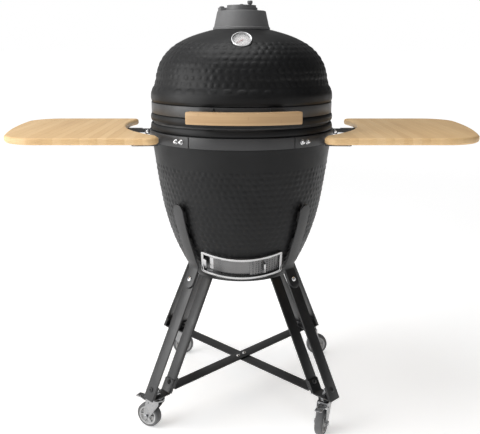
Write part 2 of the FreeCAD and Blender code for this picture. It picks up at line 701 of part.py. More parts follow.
def cradle_pads(shell):
    """Rubber blocks that fill the space between the egg and the four straps."""
    arm = cradle_arm()
    pads = []
    for z, r in ((632, 250), (548, 226)):
        block = box((r - 60, r - 0.5), (-14, 14), (z - 15, z + 15))
        pads.append(max(block.cut([shell, arm]).Solids, key=lambda solid: solid.Volume))
    return pads


def cross_bar(z):
    """A flat bar from one leg to the opposite one, with its ends turned up the inner bars."""
    clear = lean_offset(LEG_T) + lean_offset(CROSS_BAR_T) + 0.05
    middle = z + CROSS_BAR_T / 2
    high = z + 34
    end = leg_r(middle) - LEG_GAP - clear
    tab = leg_r(high) - LEG_GAP - clear
    return strip([(-tab, high), (-end, middle), (end, middle), (tab, high)], CROSS_BAR_T, LEG_WIDTH)


def leg_bolt(z, r, grip_in, grip_out, y=0.0):
    """A bolt square to a leg's face, with a domed head outside and a nut inside."""
    lean = math.degrees(math.atan(LEG_SLOPE))
    shank = cylinder(BOLT_R, -grip_in - 4, grip_out + 1)
    head = cylinder(7.5, grip_out, grip_out + 4)
    nut = hexagon(13, -grip_in - 6, -grip_in)
    bolt = shank.fuse([head, nut])
    return bolt.rotated(ORIGIN, V(0, 1, 0), 90 - lean).translated(V(r, y, z))


def stand():
    shell = base_outside()
    cradle_bolt = leg_bolt(432, leg_r(432), LEG_T / 2, LEG_T * 1.5 + 0.06)
    foot_bolt = leg_bolt(132, leg_r(132), LEG_T / 2 + FOOT_T + 0.06, LEG_T / 2)
    inner_bolt = leg_bolt(132, leg_r(132) - LEG_GAP, LEG_T / 2 + CROSS_BAR_T + 0.06,
                          LEG_T / 2 + FOOT_T + 0.06)
    bolts = [cradle_bolt, foot_bolt, inner_bolt]
    outer = outer_bar().cut(bolts)
    inner = inner_bar().cut(bolts)
    foot = foot_bracket().cut(bolts)
    arm = cradle_arm().cut(bolts)
    pads = cradle_pads(shell)
    corners = list(LEG_ANGLES)
    save("leg_outer_bars", [on_leg(outer, c) for c in corners])
    save("leg_inner_bars", [on_leg(inner, c) for c in corners])
    save("leg_feet", [on_leg(foot, c) for c in corners])
    save("cradle_arms", [on_leg(arm, c) for c in corners])
    save("cradle_pads", [on_leg(pad, c) for c in corners for pad in pads])
    all_bolts = [on_leg(bolt, c) for c in corners for bolt in bolts]
    z = CROSS_BAR_Z
    for x, y in ((-10, -10), (10, 10)):
        shank = cylinder(BOLT_R, z - 5, z + 2 * CROSS_BAR_T + 1, x, y)
        head = cylinder(7, z + 2 * CROSS_BAR_T, z + 2 * CROSS_BAR_T + 3.5, x, y)
        all_bolts.append(shank.fuse([head, hexagon(11, z - 6, z, x, y)]))
    save("stand_bolts", all_bolts)
    low_bar = cross_bar(z).rotated(ORIGIN, UP, LEG_ANGLES["front_right"])
    high_bar = cross_bar(z + CROSS_BAR_T).rotated(ORIGIN, UP, LEG_ANGLES["rear_right"])
    save("cross_bar_lower", low_bar.cut(all_bolts))
    save("cross_bar_upper", high_bar.cut(all_bolts))
    ring_z = EGG_FOOT_Z - BASE_RING_T
    save("base_ring", tube(*BASE_RING_R, ring_z, EGG_FOOT_Z))


# Casters, built with the kingpin on the Z axis and the wheel trailing along +X

def on_caster(shape, corner):
    turn = TRAIL_ANGLES[corner]
    angle = math.radians(LEG_ANGLES[corner])
    r = caster_r()
    place = V(r * math.cos(angle), r * math.sin(angle), 0)
    return shape.rotated(ORIGIN, UP, turn).translated(place)


def caster_stem():
    """Kingpin with its fixed race below the foot bracket and its nut above it."""
    plate_low, plate_high = FORK_PLATE_Z
    race = cylinder(17, plate_high + 0.3, LEG_FOOT_Z)
    stud = cylinder(6, LEG_FOOT_Z, LEG_FOOT_Z + 24)
    pin = cylinder(KINGPIN_R, plate_low - 3, LEG_FOOT_Z)
    rivet = cylinder(8, plate_low - 3, plate_low - SLIP)
    nut = hexagon(17, LEG_FOOT_Z + FOOT_T, LEG_FOOT_Z + FOOT_T + 9)
    return race.fuse([stud, pin, rivet, nut])


def caster_fork(braked):
    low, high = FORK_PLATE_Z
    plate = cylinder(FORK_PLATE_R, low, high)
    cheeks = []
    for side in (-1, 1):
        y = side * (FORK_INNER + FORK_T / 2) - FORK_T / 2
        ring = [V(-13, y, high), V(30, y, high), V(34, y, 80), V(TRAIL + 9, y, WHEEL_R),
                V(TRAIL, y, WHEEL_R - 10), V(TRAIL - 9, y, WHEEL_R), V(-13, y, 84)]
        face = Part.Face(Part.makePolygon(ring + ring[:1]))
        cheeks.append(face.extrude(V(0, FORK_T, 0)))
    bridge = box((-13, 30), (-FORK_INNER - FORK_T, FORK_INNER + FORK_T), (low, high))
    bore = cylinder(KINGPIN_R + RUNNING, low - 1, high + 1)
    holes = [bore, rod(AXLE_R, V(TRAIL, -30, WHEEL_R), V(TRAIL, 30, WHEEL_R))]
    if braked:
        pivot = BRAKE_PIVOT
        holes.append(rod(BRAKE_PIN_R + RUNNING, V(pivot.x, -30, pivot.z), V(pivot.x, 30, pivot.z)))
    return plate.fuse(cheeks + [bridge]).cut(holes)


def caster_axle():
    half = FORK_INNER + FORK_T
    shank = rod(AXLE_R, V(TRAIL, -half - 2, WHEEL_R), V(TRAIL, half + 2, WHEEL_R))
    ends = []
    for low, high in ((-half - 5, -half), (half, half + 5)):
        ends.append(rod(7, V(TRAIL, low, WHEEL_R), V(TRAIL, high, WHEEL_R)))
    return shank.fuse(ends)


def wheel_turned(wire):
    """Turns a wheel's half section, drawn with its axle as Z, and lays it in place."""
    return turned(wire).rotated(ORIGIN, ACROSS, 90).translated(V(TRAIL, 0, WHEEL_R))


def tyre():
    half = WHEEL_WIDTH / 2
    return wheel_turned(outline(
        (TREAD_R, -half), (WHEEL_R - 4, -half),
        [(WHEEL_R - 0.8, -half + 4), (WHEEL_R, 0), (WHEEL_R - 0.8, half - 4), (WHEEL_R - 4, half)],
        (TREAD_R, half)))


def hub():
    half = WHEEL_WIDTH / 2 - 0.5
    bore = AXLE_R + RUNNING
    return wheel_turned(outline(
        (bore, -half - 1.5), (10, -half - 1.5), (10, -5), (23, -5), (25, -half), (TREAD_R - 0.03, -half),
        (TREAD_R - 0.03, half), (25, half), (23, 5), (10, 5), (10, half + 1.5), (bore, half + 1.5)))


def brake():
    """A foot pedal on a cross pin behind the fork plate."""
    pivot = BRAKE_PIVOT
    pin = rod(BRAKE_PIN_R, V(pivot.x, -19, pivot.z), V(pivot.x, 19, pivot.z))
    lever = strip([(16, 86), (40, 86), (56, 92), (72, 92)], 2.5, 22)
    boss = rod(4.5, V(pivot.x, -12, pivot.z), V(pivot.x, 12, pivot.z))
    return pin.fuse([lever, boss])


def casters():
    stems = []
    for corner in LEG_ANGLES:
        braked = corner in BRAKED
        stems.append(on_caster(caster_stem(), corner))
        fork = caster_fork(braked)
        save("caster_fork_%s" % corner, [on_caster(fork, corner), on_caster(caster_axle(), corner)])
        save("caster_tyre_%s" % corner, on_caster(tyre(), corner))
        save("caster_hub_%s" % corner, on_caster(hub(), corner))
        if braked:
            save("caster_brake_%s" % corner, on_caster(brake(), corner))
    save("caster_stems", stems)


def main():
    os.makedirs("parts", exist_ok=True)
    save("base_shell", base_shell())
    save("dome_shell", dome_shell())
    gaskets()
    save("fire_box", fire_box())
    save("fire_ring", fire_ring())
    save("charcoal_grate", charcoal_grate())
    save("cooking_grate", cooking_grate())
    bands()
    save("vent_body", vent_body())
    save("vent_disc", vent_disc())
    save("daisy_wheel", daisy_wheel())
    save("vent_knob", vent_knob())
    save("vent_pivot", vent_pivot())
    thermometer()
    handle()
    hinge()
    shelves()
    save("draft_frame", draft_frame())
    save("draft_door", draft_door())
    save("draft_screen", draft_screen())
    stand()
    casters()


main()
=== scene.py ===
"""The looks of a kamado ceramic grill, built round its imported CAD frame.

Lengths in the builders below are millimetres; they become metres where a mesh is made.
"""

import cmath
import math

import bmesh
import bpy
import numpy as np
from mathutils import Matrix, Vector


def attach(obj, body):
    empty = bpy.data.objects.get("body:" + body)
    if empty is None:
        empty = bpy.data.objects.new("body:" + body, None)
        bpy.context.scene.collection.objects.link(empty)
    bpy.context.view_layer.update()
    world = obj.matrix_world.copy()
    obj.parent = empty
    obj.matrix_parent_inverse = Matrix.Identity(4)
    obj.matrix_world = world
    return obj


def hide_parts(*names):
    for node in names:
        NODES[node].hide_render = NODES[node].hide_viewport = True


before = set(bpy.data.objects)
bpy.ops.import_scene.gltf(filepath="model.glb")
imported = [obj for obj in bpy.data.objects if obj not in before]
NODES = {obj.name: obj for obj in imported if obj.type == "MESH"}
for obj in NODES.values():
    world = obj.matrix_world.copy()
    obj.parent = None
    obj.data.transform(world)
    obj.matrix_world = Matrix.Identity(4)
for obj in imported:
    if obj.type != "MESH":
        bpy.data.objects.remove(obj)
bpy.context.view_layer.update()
MM = 0.001
CORNERS = {"front_left": -135.0, "front_right": -45.0, "rear_left": 135.0, "rear_right": 45.0}
TRAILS = {"front_left": 152.0, "front_right": -114.0, "rear_left": 8.0, "rear_right": 4.0}
BASE = "stand_and_base"

# Sizes shared with the frame, in millimetres and degrees
BAND_T = 3
BASE_BAND_R, BASE_BAND_Z = 268.55, (835, 865)
DOME_BAND_R, DOME_BAND_Z = 264.15, (915, 945)
PLATE_R, PLATE_SPLIT, SIDE_PLATE_END = 271.7, 31.5, 128
NUT_ANGLES = (-40.5, -36.5, 36.5, 40.5)
HANDLE_R, HANDLE_Z, HANDLE_ANGLES = (307, 332), (906, 938), (-26.0, 28.2)
HINGE_Y, HINGE_Z = 318, 879
SHELF_PIVOT_X, SHELF_PIVOT_Z, ARM_Y = 304, 835, (-130, 150)
SHELF_Z, STAVE = (844, 864), 0.024
DOOR_R, FRAME_HALF_ANGLE, FRAME_HALF_HEIGHT = 200, 35, 39
VENT_PIVOT_X, KNOB_BOTTOM_Z = -57, 1215.5
LEG_WIDTH, LEG_GAP, LEG_SLOPE, LEG_FOOT_Z = 40, 70, 0.531, 105
CROSS_BAR_Z, LEG_BOLT_Z, CRADLE_BOLT_Z = (109, 113), 132, 432
TRAIL, WHEEL_R, BRAKE_PIVOT = 32, 37.5, (24, 0, 84)
DIAL_R, DIAL_SWEEP = 23.4, 128
WINDOW_ANGLES, WINDOW_HALF_HEIGHT = (-25.5, 4.5), 24


# Meshes ---------------------------------------------------------------------------------

def put(name, data):
    """A new object in the scene."""
    made = bpy.data.objects.new(name, data)
    bpy.context.scene.collection.objects.link(made)
    return made


def weld(work):
    bmesh.ops.remove_doubles(work, verts=work.verts, dist=1e-6)
    bmesh.ops.recalc_face_normals(work, faces=work.faces)


def piece(name, verts, faces, finish, body, slot, hides=(), place=None, smooth=38, rework=None):
    """A mesh object from millimetre points, riding on a body in place of CAD nodes."""
    mesh = bpy.data.meshes.new(name)
    points = [(place @ Vector(v)) * MM if place else Vector(v) * MM for v in verts]
    mesh.from_pydata(points, [], faces)
    if rework:
        work = bmesh.new()
        work.from_mesh(mesh)
        rework(work)
        work.to_mesh(mesh)
        work.free()
    mesh.validate()
    mesh.polygons.foreach_set("use_smooth", [True] * len(mesh.polygons))
    mesh.set_sharp_from_angle(angle=math.radians(smooth))
    mesh.materials.append(finish)
    made = put(name, mesh)
    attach(made, body)
    if hides:
        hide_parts(*hides)
    return made


def joined(parts):
    """Several (verts, faces) as one."""
    verts, faces = [], []
    for more_verts, more_faces in parts:
        start = len(verts)
        verts.extend(more_verts)
        faces.extend([tuple(i + start for i in face) for face in more_faces])
    return verts, faces


def moved(part, matrix):
    verts, faces = part
    return [tuple(matrix @ Vector(v)) for v in verts], faces


def turn_z(degrees):
    return Matrix.Rotation(math.radians(degrees), 4, "Z")


def upright(x, y, z):
    """Stands a piece built in plan on edge at a spot, its top facing the front."""
    return Matrix.Translation((x, y, z)) @ Matrix.Rotation(math.pi / 2, 4, "X")


def rounded(corners, closed=False, turn=15.0):
    """A polyline whose corners (x, y, radius) are arcs with a point every few degrees."""
    count = len(corners)
    points = []
    for i, corner in enumerate(corners):
        here = Vector(corner[:2])
        radius = corner[2] if len(corner) > 2 else 0
        if radius == 0 or (not closed and i in (0, count - 1)):
            points.append(tuple(here))
            continue
        before = Vector(corners[i - 1][:2]) - here
        after = Vector(corners[(i + 1) % count][:2]) - here
        inner = before.angle(after)
        if inner > math.pi - 0.02:
            points.append(tuple(here))
            continue
        reach = min(radius / math.tan(inner / 2), 0.49 * before.length, 0.49 * after.length)
        radius = reach * math.tan(inner / 2)
        middle = here + (before.normalized() + after.normalized()).normalized() \
            * (radius / math.sin(inner / 2))
        first = here + before.normalized() * reach - middle
        last = here + after.normalized() * reach - middle
        sweep = first.angle_signed(last) * -1
        steps = max(2, int(math.degrees(abs(sweep)) / turn) + 1)
        points += [tuple(middle + Matrix.Rotation(sweep * k / steps, 2) @ first)
            for k in range(steps + 1)]
    return points


def turned(profile, segments=96, closed=False, hexes=()):
    """Turns (r, z) points about Z. Points named in hexes follow a hexagon of that inner radius."""
    verts, rows = [], []
    for i, point in enumerate(profile):
        r, z = point[0], point[1]
        if r < 1e-6:
            rows.append([len(verts)] * segments)
            verts.append((0.0, 0.0, z))
            continue
        row = []
        for k in range(segments):
            a = math.tau * k / segments
            reach = r
            if i in hexes:
                reach = r / math.cos((a % (math.pi / 3)) - math.pi / 6)
            row.append(len(verts))
            verts.append((reach * math.cos(a), reach * math.sin(a), z))
        rows.append(row)
    faces = []
    pairs = list(zip(rows, rows[1:])) + ([(rows[-1], rows[0])] if closed else [])
    for low, high in pairs:
        for k in range(segments):
            n = (k + 1) % segments
            face = [low[k], low[n], high[n], high[k]]
            face = [v for j, v in enumerate(face) if v != face[j - 1]]
            if len(face) > 2:
                faces.append(tuple(face))
    return verts, faces


def loft(sections, closed=False):
    """Joins equal loops of points; open ends are closed with a face."""
    count = len(sections[0])
    verts = [tuple(p) for section in sections for p in section]
    faces = []
    for s in range(len(sections) - (0 if closed else 1)):
        a, b = s * count, ((s + 1) % len(sections)) * count
        for k in range(count):
            n = (k + 1) % count
            faces.append((a + k, a + n, b + n, b + k))
    if not closed:
        faces.append(tuple(reversed(range(count))))
        faces.append(tuple(range(len(verts) - count, len(verts))))
    return verts, faces


def rounded_box(half_u, half_v, radius):
    """A rounded rectangle as (u, v) points, the same count whatever its size."""
    radius = max(min(radius, half_u * 0.98, half_v * 0.98), 0.01)
    points = []
    for cu, cv, start in ((1, 1, 0), (-1, 1, 90), (-1, -1, 180), (1, -1, 270)):
        for k in range(4):
            a = math.radians(start + 30 * k)
            points.append((cu * (half_u - radius) + radius * math.cos(a), cv * (half_v - radius)
                + radius * math.sin(a)))
    return points


def quarter(steps):
    """Points of a quarter round, as (along, in) parts of its radius."""
    turns = [math.pi / 2 * k / steps for k in range(steps + 1)]
    return [(1 - math.cos(a), 1 - math.sin(a)) for a in turns]


def end_of(edge, half):
    """A bar's end sections: (place, drawn in, narrowed). half is set for a round end."""
    stations = [(edge * u, edge * v, 0.0) for u, v in quarter(3)]
    if half:
        stations += [(edge + half * u, 0.0, 0.0) for u, _ in quarter(8)[1:]]
        stations = [(s, inset, half - math.sqrt(max(half ** 2 - max(half - s, 0) ** 2, 0.05)))
            for s, inset, _ in stations]
    return stations


def bar(path, thickness, width, edge=0.9, round_ends=(False, False)):
    """A flat bar along (x, z) points, its width along Y, with softened edges and ends."""
    points = [Vector((p[0], 0, p[1])) for p in path]
    lengths = [0.0]
    for a, b in zip(points, points[1:]):
        lengths.append(lengths[-1] + (b - a).length)
    total = lengths[-1]
    half = width / 2
    first, last = (end_of(edge, half if end else 0) for end in round_ends)
    stations = {round(s, 4): rest for s, *rest in first}
    stations.update({round(total - s, 4): rest for s, *rest in last})
    low, high = max(s for s in stations if s < total / 2), min(s for s in stations if s > total / 2)
    for s in lengths:
        if low < s < high:
            stations[round(s, 4)] = (0.0, 0.0)
    sections = []
    side_way = Vector((0, 1, 0))
    for s in sorted(stations):
        inset, narrow = stations[s]
        k = max(i for i in range(len(lengths) - 1) if lengths[i] <= s + 1e-6)
        span = lengths[k + 1] - lengths[k]
        here = points[k].lerp(points[k + 1], (s - lengths[k]) / span)
        way = (points[k + 1] - points[k]).normalized()
        if abs(s - lengths[k]) < 1e-3 and k:
            way = (way + (points[k] - points[k - 1]).normalized()).normalized()
        normal = way.cross(side_way).normalized()
        loop = rounded_box(thickness / 2 - inset, half - narrow - inset, edge)
        sections.append([here + normal * u + side_way * v for u, v in loop])
    return loft(sections)


def on_arc(r, angle, z):
    """Angles run from the front, positive to the right."""
    a = math.radians(angle - 90)
    return Vector((r * math.cos(a), r * math.sin(a), z))


def arc_bar(r_in, r_out, z_low, z_high, angle_from, angle_to, edge=0.7, corner=0.0, step=1.5):
    """A bent bar or plate; its ends have softened edges and, on a plate, rounded corners."""
    middle_r, middle_z = (r_in + r_out) / 2, (z_low + z_high) / 2
    per_degree = math.radians(1) * middle_r
    total = (angle_to - angle_from) * per_degree
    half_t, half_h = (r_out - r_in) / 2, (z_high - z_low) / 2
    stations = {edge * u: edge * v for u, v in quarter(3)}
    for k in range(1, 7):
        if corner > edge:
            stations[edge + (corner - edge) * k / 6] = 0.0
    plan = []
    for s, inset in sorted(stations.items()):
        drop = corner - math.sqrt(max(corner ** 2 - max(corner - s, 0) ** 2, 0)) if corner else 0
        plan.append((s, inset, drop))
    start = plan[-1][0]
    count = max(2, int((total - 2 * start) / per_degree / step))
    inside = [(start + (total - 2 * start) * k / count, 0.0, 0.0) for k in range(1, count)]
    plan = plan + inside + [(total - s, i, d) for s, i, d in reversed(plan)]
    sections = []
    for s, inset, drop in plan:
        angle = angle_from + s / per_degree
        loop = rounded_box(half_t - inset, half_h - drop - inset, edge)
        sections.append([on_arc(middle_r + u, angle, middle_z + v) for u, v in loop])
    return loft(sections)


def ring_bar(r_in, r_out, z_low, z_high, edge=0.9):
    loop = rounded_box((r_out - r_in) / 2, (z_high - z_low) / 2, edge)
    return turned([((r_in + r_out) / 2 + u, (z_low + z_high) / 2 + v) for u, v in loop], 180,
        closed=True)


def inward(outline, distance):
    """An outline of (u, v) points, anticlockwise, drawn in along its corners' normals."""
    count = len(outline)
    result = []
    for i in range(count):
        before = Vector(outline[i]) - Vector(outline[i - 1])
        after = Vector(outline[(i + 1) % count]) - Vector(outline[i])
        before.normalize()
        after.normalize()
        along = before + after
        along.normalize()
        normal = Vector((-along.y, along.x))
        lean = max(along.dot(after), 0.5)
        result.append(tuple(Vector(outline[i]) + normal * (distance / lean)))
    return result


def slab(outline, z_low, z_high, edge=0.8, steps=3):
    """A plate with a plan outline and quarter-round edges."""
    area = sum(a[0] * b[1] - b[0] * a[1] for a, b in zip(outline, outline[1:] + outline[:1]))
    if area < 0:
        outline = outline[::-1]
    rims = [(edge * v, z_low + edge * u) for u, v in quarter(steps)]
    rims += [(edge * u, z_high - edge * v) for u, v in quarter(steps)]
    return loft([[(u, v, z) for u, v in inward(outline, inset)] for inset, z in rims])


def natural_curve(points, step):
    """A smooth curve through the points, sampled every step millimetres."""
    points = np.array(points, float)
    knots = np.r_[0, np.cumsum(np.hypot(*np.diff(points, axis=0).T))]
    count, gaps = len(points), np.diff(knots)
    left, right = np.eye(count), np.zeros((count, 2))
    for i in range(1, count - 1):
        left[i, i - 1:i + 2] = gaps[i - 1], 2 * (gaps[i - 1] + gaps[i]), gaps[i]
        right[i] = 6 * ((points[i + 1] - points[i]) / gaps[i] - (points[i] - points[i - 1])
            / gaps[i - 1])
    bend = np.linalg.solve(left, right)
    where = np.linspace(0, knots[-1], max(2, int(knots[-1] / step) + 1))
    k = np.clip(np.searchsorted(knots, where) - 1, 0, count - 2)
    a = ((knots[k + 1] - where) / gaps[k])[:, None]
    c = ((where - knots[k]) / gaps[k])[:, None]
    return a * points[k] + c * points[k + 1] \
        + ((a ** 3 - a) * bend[k] + (c ** 3 - c) * bend[k + 1]) * (gaps[k] ** 2 / 6)[:, None]


# Materials ------------------------------------------------------------------------------

def material(name, **sockets):
    made = bpy.data.materials.new(name)
    made.use_nodes = True
    shader = made.node_tree.nodes["Principled BSDF"]
    for key, value in sockets.items():
        shader.inputs[key.replace("_", " ")].default_value = value
    return made, shader


def add(made, kind, settings=None, **sockets):
    node = made.node_tree.nodes.new("ShaderNode" + kind)
    for key, value in (settings or {}).items():
        setattr(node, key, value)
    for key, value in sockets.items():
        target = node.inputs[int(key[1:]) if key[0] == "i" and key[1:].isdigit()
            else key.replace("_", " ")]
        if isinstance(value, bpy.types.NodeSocket):
            made.node_tree.links.new(value, target)
        else:
            target.default_value = value
    return node


def link(made, source, target):
    made.node_tree.links.new(source, target)


def place_of(made, scale=(1, 1, 1)):
    """The piece's own coordinates, in metres, stretched by scale."""
    spot = add(made, "TexCoord")
    return add(made, "Mapping", Vector=spot.outputs["Object"], Scale=scale).outputs["Vector"]


def noise(made, vector, scale, detail=3.0, roughness=0.55):
    node = add(made, "TexNoise", Vector=vector, Scale=scale, Detail=detail, Roughness=roughness)
    return node.outputs["Fac"]


def tones(made, fac, *stops):
    node = add(made, "ValToRGB", Fac=fac)
    ramp = node.color_ramp
    while len(ramp.elements) < len(stops):
        ramp.elements.new(0.5)
    for element, (position, colour) in zip(ramp.elements, stops):
        element.position = position
        element.color = (*colour, 1) if len(colour) == 3 else colour
    return node.outputs["Color"]


def span(made, fac, low, high):
    node = add(made, "MapRange", Value=fac, From_Min=0.3, From_Max=0.7, To_Min=low, To_Max=high)
    return node.outputs["Result"]


def maths(made, operation, first, second=0.0):
    node = add(made, "Math", {"operation": operation}, i0=first, i1=second)
    return node.outputs["Value"]


def weighted(made, *parts):
    """The sum of (socket, weight) pairs."""
    total = None
    for value, weight in parts:
        part = maths(made, "MULTIPLY", value, weight)
        total = maths(made, "ADD", total, part) if total else part
    return total


def bump(made, shader, height, strength, distance):
    node = add(made, "Bump", Height=height, Strength=strength, Distance=distance)
    link(made, node.outputs["Normal"], shader.inputs["Normal"])


def coated(name, dark, light, rough, grain, metal=0.0, strength=0.25, specular=0.5, depth=0.0004):
    """A paint, glaze, cast or rubber surface: mottled tone, uneven gloss, fine grain."""
    made, shader = material(name, Metallic=metal, Specular_IOR_Level=specular)
    wide = noise(made, place_of(made), 9.0, 4)
    fine = noise(made, place_of(made), grain, 4, 0.6)
    link(made, tones(made, weighted(made, (wide, 0.6), (fine, 0.4)), (0.36, dark), (0.64, light)),
        shader.inputs["Base Color"])
    link(made, span(made, noise(made, place_of(made), 22.0, 5), *rough), shader.inputs["Roughness"])
    bump(made, shader, fine, strength, depth)
    return made


def plated(name, tone, rough, stretch=(1, 1, 1), grain=260.0, strength=0.08):
    """Bare or plated metal, with the drawn or mottled grain of its surface."""
    made, shader = material(name, Metallic=1.0)
    fine = noise(made, place_of(made, stretch), grain, 3, 0.6)
    wide = noise(made, place_of(made), 30.0, 3)
    link(made, tones(made, weighted(made, (wide, 0.5), (fine, 0.5)),
        (0.35, tuple(c * 0.82 for c in tone)), (0.65, tone)), shader.inputs["Base Color"])
    link(made, span(made, fine, *rough), shader.inputs["Roughness"])
    bump(made, shader, fine, strength, 0.0002)
    return made


def bamboo(name, stave, pale, warm, deep):
    """Bamboo strips: each stave its own tone, long fibres, and a darker node now and then.

    The mesh carries "grain", a vector of metres: along the fibres, across the staves, deep.
    """
    made, shader = material(name, Specular_IOR_Level=0.4)
    grain = add(made, "Attribute", {"attribute_name": "grain"}).outputs["Vector"]
    parts = add(made, "SeparateXYZ", Vector=grain)
    index = maths(made, "FLOOR", maths(made, "DIVIDE", parts.outputs["Y"], stave))
    chance = add(made, "TexWhiteNoise", {"noise_dimensions": "1D"}, W=index).outputs["Value"]
    fine = add(made, "Mapping", Vector=grain, Scale=(5, 420, 300))
    wide = add(made, "Mapping", Vector=grain, Scale=(5, 26, 20))
    fibres = noise(made, fine.outputs["Vector"], 1.0, 4, 0.65)
    clouds = noise(made, wide.outputs["Vector"], 1.0, 3)
    along = maths(made, "ADD", maths(made, "DIVIDE", parts.outputs["X"], 0.27), chance)
    from_node = maths(made, "ABSOLUTE", maths(made, "SUBTRACT", maths(made, "FRACT", along), 0.5))
    node_band = add(made, "MapRange", Value=from_node, From_Min=0.0, From_Max=0.012, To_Min=0.12,
        To_Max=0.0).outputs["Result"]
    mix = maths(made, "SUBTRACT", weighted(made, (chance, 0.20), (fibres, 0.45), (clouds, 0.40)),
        node_band)
    link(made, tones(made, mix, (0.16, deep), (0.48, warm), (0.76, pale)),
        shader.inputs["Base Color"])
    link(made, span(made, fibres, 0.38, 0.55), shader.inputs["Roughness"])
    bump(made, shader, fibres, 0.12, 0.0003)
    return made


CERAMIC = coated("black_glaze", (0.0055, 0.0056, 0.0059), (0.0095, 0.0097, 0.0102), (0.38, 0.50),
    700.0, strength=0.10, specular=0.22)
BAND_STEEL = coated("band_powder_coat", (0.022, 0.022, 0.023), (0.033, 0.033, 0.034), (0.32, 0.44),
    1500.0, strength=0.3)
STAND_STEEL = coated("stand_powder_coat", (0.012, 0.012, 0.0125), (0.021, 0.021, 0.022),
    (0.28, 0.40), 1500.0, strength=0.3)
CAST_IRON = coated("cast_iron_grey", (0.11, 0.11, 0.111), (0.165, 0.165, 0.167), (0.50, 0.66),
    900.0, metal=0.35, strength=0.5, depth=0.0006)
GRATE_IRON = coated("cast_iron_dark", (0.035, 0.034, 0.033), (0.07, 0.068, 0.066), (0.55, 0.75),
    700.0, metal=0.3, strength=0.6, depth=0.0006)
FIRE_CLAY = coated("fire_clay", (0.50, 0.43, 0.34), (0.63, 0.57, 0.47), (0.75, 0.92), 500.0,
    strength=0.6, specular=0.25, depth=0.0008)
FELT = coated("dark_felt", (0.06, 0.06, 0.06), (0.14, 0.14, 0.14), (0.9, 1.0), 2200.0, strength=0.9,
    specular=0.1, depth=0.001)
PAD_RUBBER = coated("black_rubber", (0.016, 0.016, 0.016), (0.028, 0.028, 0.028), (0.7, 0.85),
    1200.0, strength=0.3, specular=0.3)
TREAD = coated("grey_tread", (0.10, 0.101, 0.103), (0.16, 0.161, 0.164), (0.55, 0.72), 1100.0,
    strength=0.35, specular=0.35)
HUB = coated("moulded_hub", (0.40, 0.40, 0.40), (0.50, 0.50, 0.50), (0.38, 0.5), 900.0,
    strength=0.12)
DIAL = coated("dial_paint", (0.48, 0.45, 0.445), (0.56, 0.53, 0.525), (0.35, 0.45), 400.0,
    strength=0.03)
MARKS = coated("dial_print", (0.10, 0.10, 0.11), (0.14, 0.14, 0.15), (0.5, 0.6), 800.0,
    strength=0.03)
NEEDLE = coated("needle_enamel", (0.26, 0.02, 0.018), (0.34, 0.03, 0.022), (0.3, 0.4), 600.0,
    strength=0.05)
STAINLESS = plated("stainless_sheet", (0.60, 0.60, 0.605), (0.14, 0.26), (1, 1, 14))
PANEL_STEEL = plated("panel_sheet", (0.20, 0.20, 0.202), (0.20, 0.34), (1, 1, 14))
CHROME = plated("bright_plating", (0.78, 0.78, 0.785), (0.06, 0.16), grain=90.0, strength=0.02)
SPRING = plated("oiled_spring", (0.36, 0.36, 0.37), (0.28, 0.42))
GRATE_STEEL = plated("drawn_rod", (0.56, 0.56, 0.56), (0.25, 0.4), (1, 0.05, 1), 900.0)
ZINC = plated("zinc_plate", (0.40, 0.403, 0.41), (0.20, 0.38), grain=120.0)
BEZEL = plated("bezel_plating", (0.52, 0.52, 0.525), (0.12, 0.24), grain=90.0, strength=0.02)
SHELF_BAMBOO = bamboo("shelf_bamboo", STAVE, (0.78, 0.55, 0.30), (0.71, 0.475, 0.235),
    (0.57, 0.345, 0.155))
HANDLE_BAMBOO = bamboo("handle_bamboo", 0.008, (0.56, 0.375, 0.205), (0.46, 0.295, 0.15),
    (0.33, 0.20, 0.10))
GLASS, glass_shader = material("gauge_glass", Base_Color=(0.95, 0.97, 0.97, 1), Roughness=0.03,
    Alpha=0.14)
glass_tone = noise(GLASS, place_of(GLASS), 60.0, 2)
link(GLASS, span(GLASS, glass_tone, 0.02, 0.05), glass_shader.inputs["Roughness"])
GLASS.surface_render_method = "BLENDED"


# Ceramic shells -------------------------------------------------------------------------

TURNS = 720
GROOVE = 0.25
SEAT_R, GAUGE_SEAT = 193.3, -6.2
DOOR_TILT = math.radians(24.6)
DOOR_SPOT = (0, -191.5 + DOOR_R * math.cos(DOOR_TILT), 481 + DOOR_R * math.sin(DOOR_TILT))
DOOR_PLACE = Matrix.Translation(DOOR_SPOT) @ Matrix.Rotation(DOOR_TILT, 4, "X")
GAUGE_PLACE = Matrix.Translation((0, -177, 1114)) @ Matrix.Rotation(math.radians(40), 4, "X")


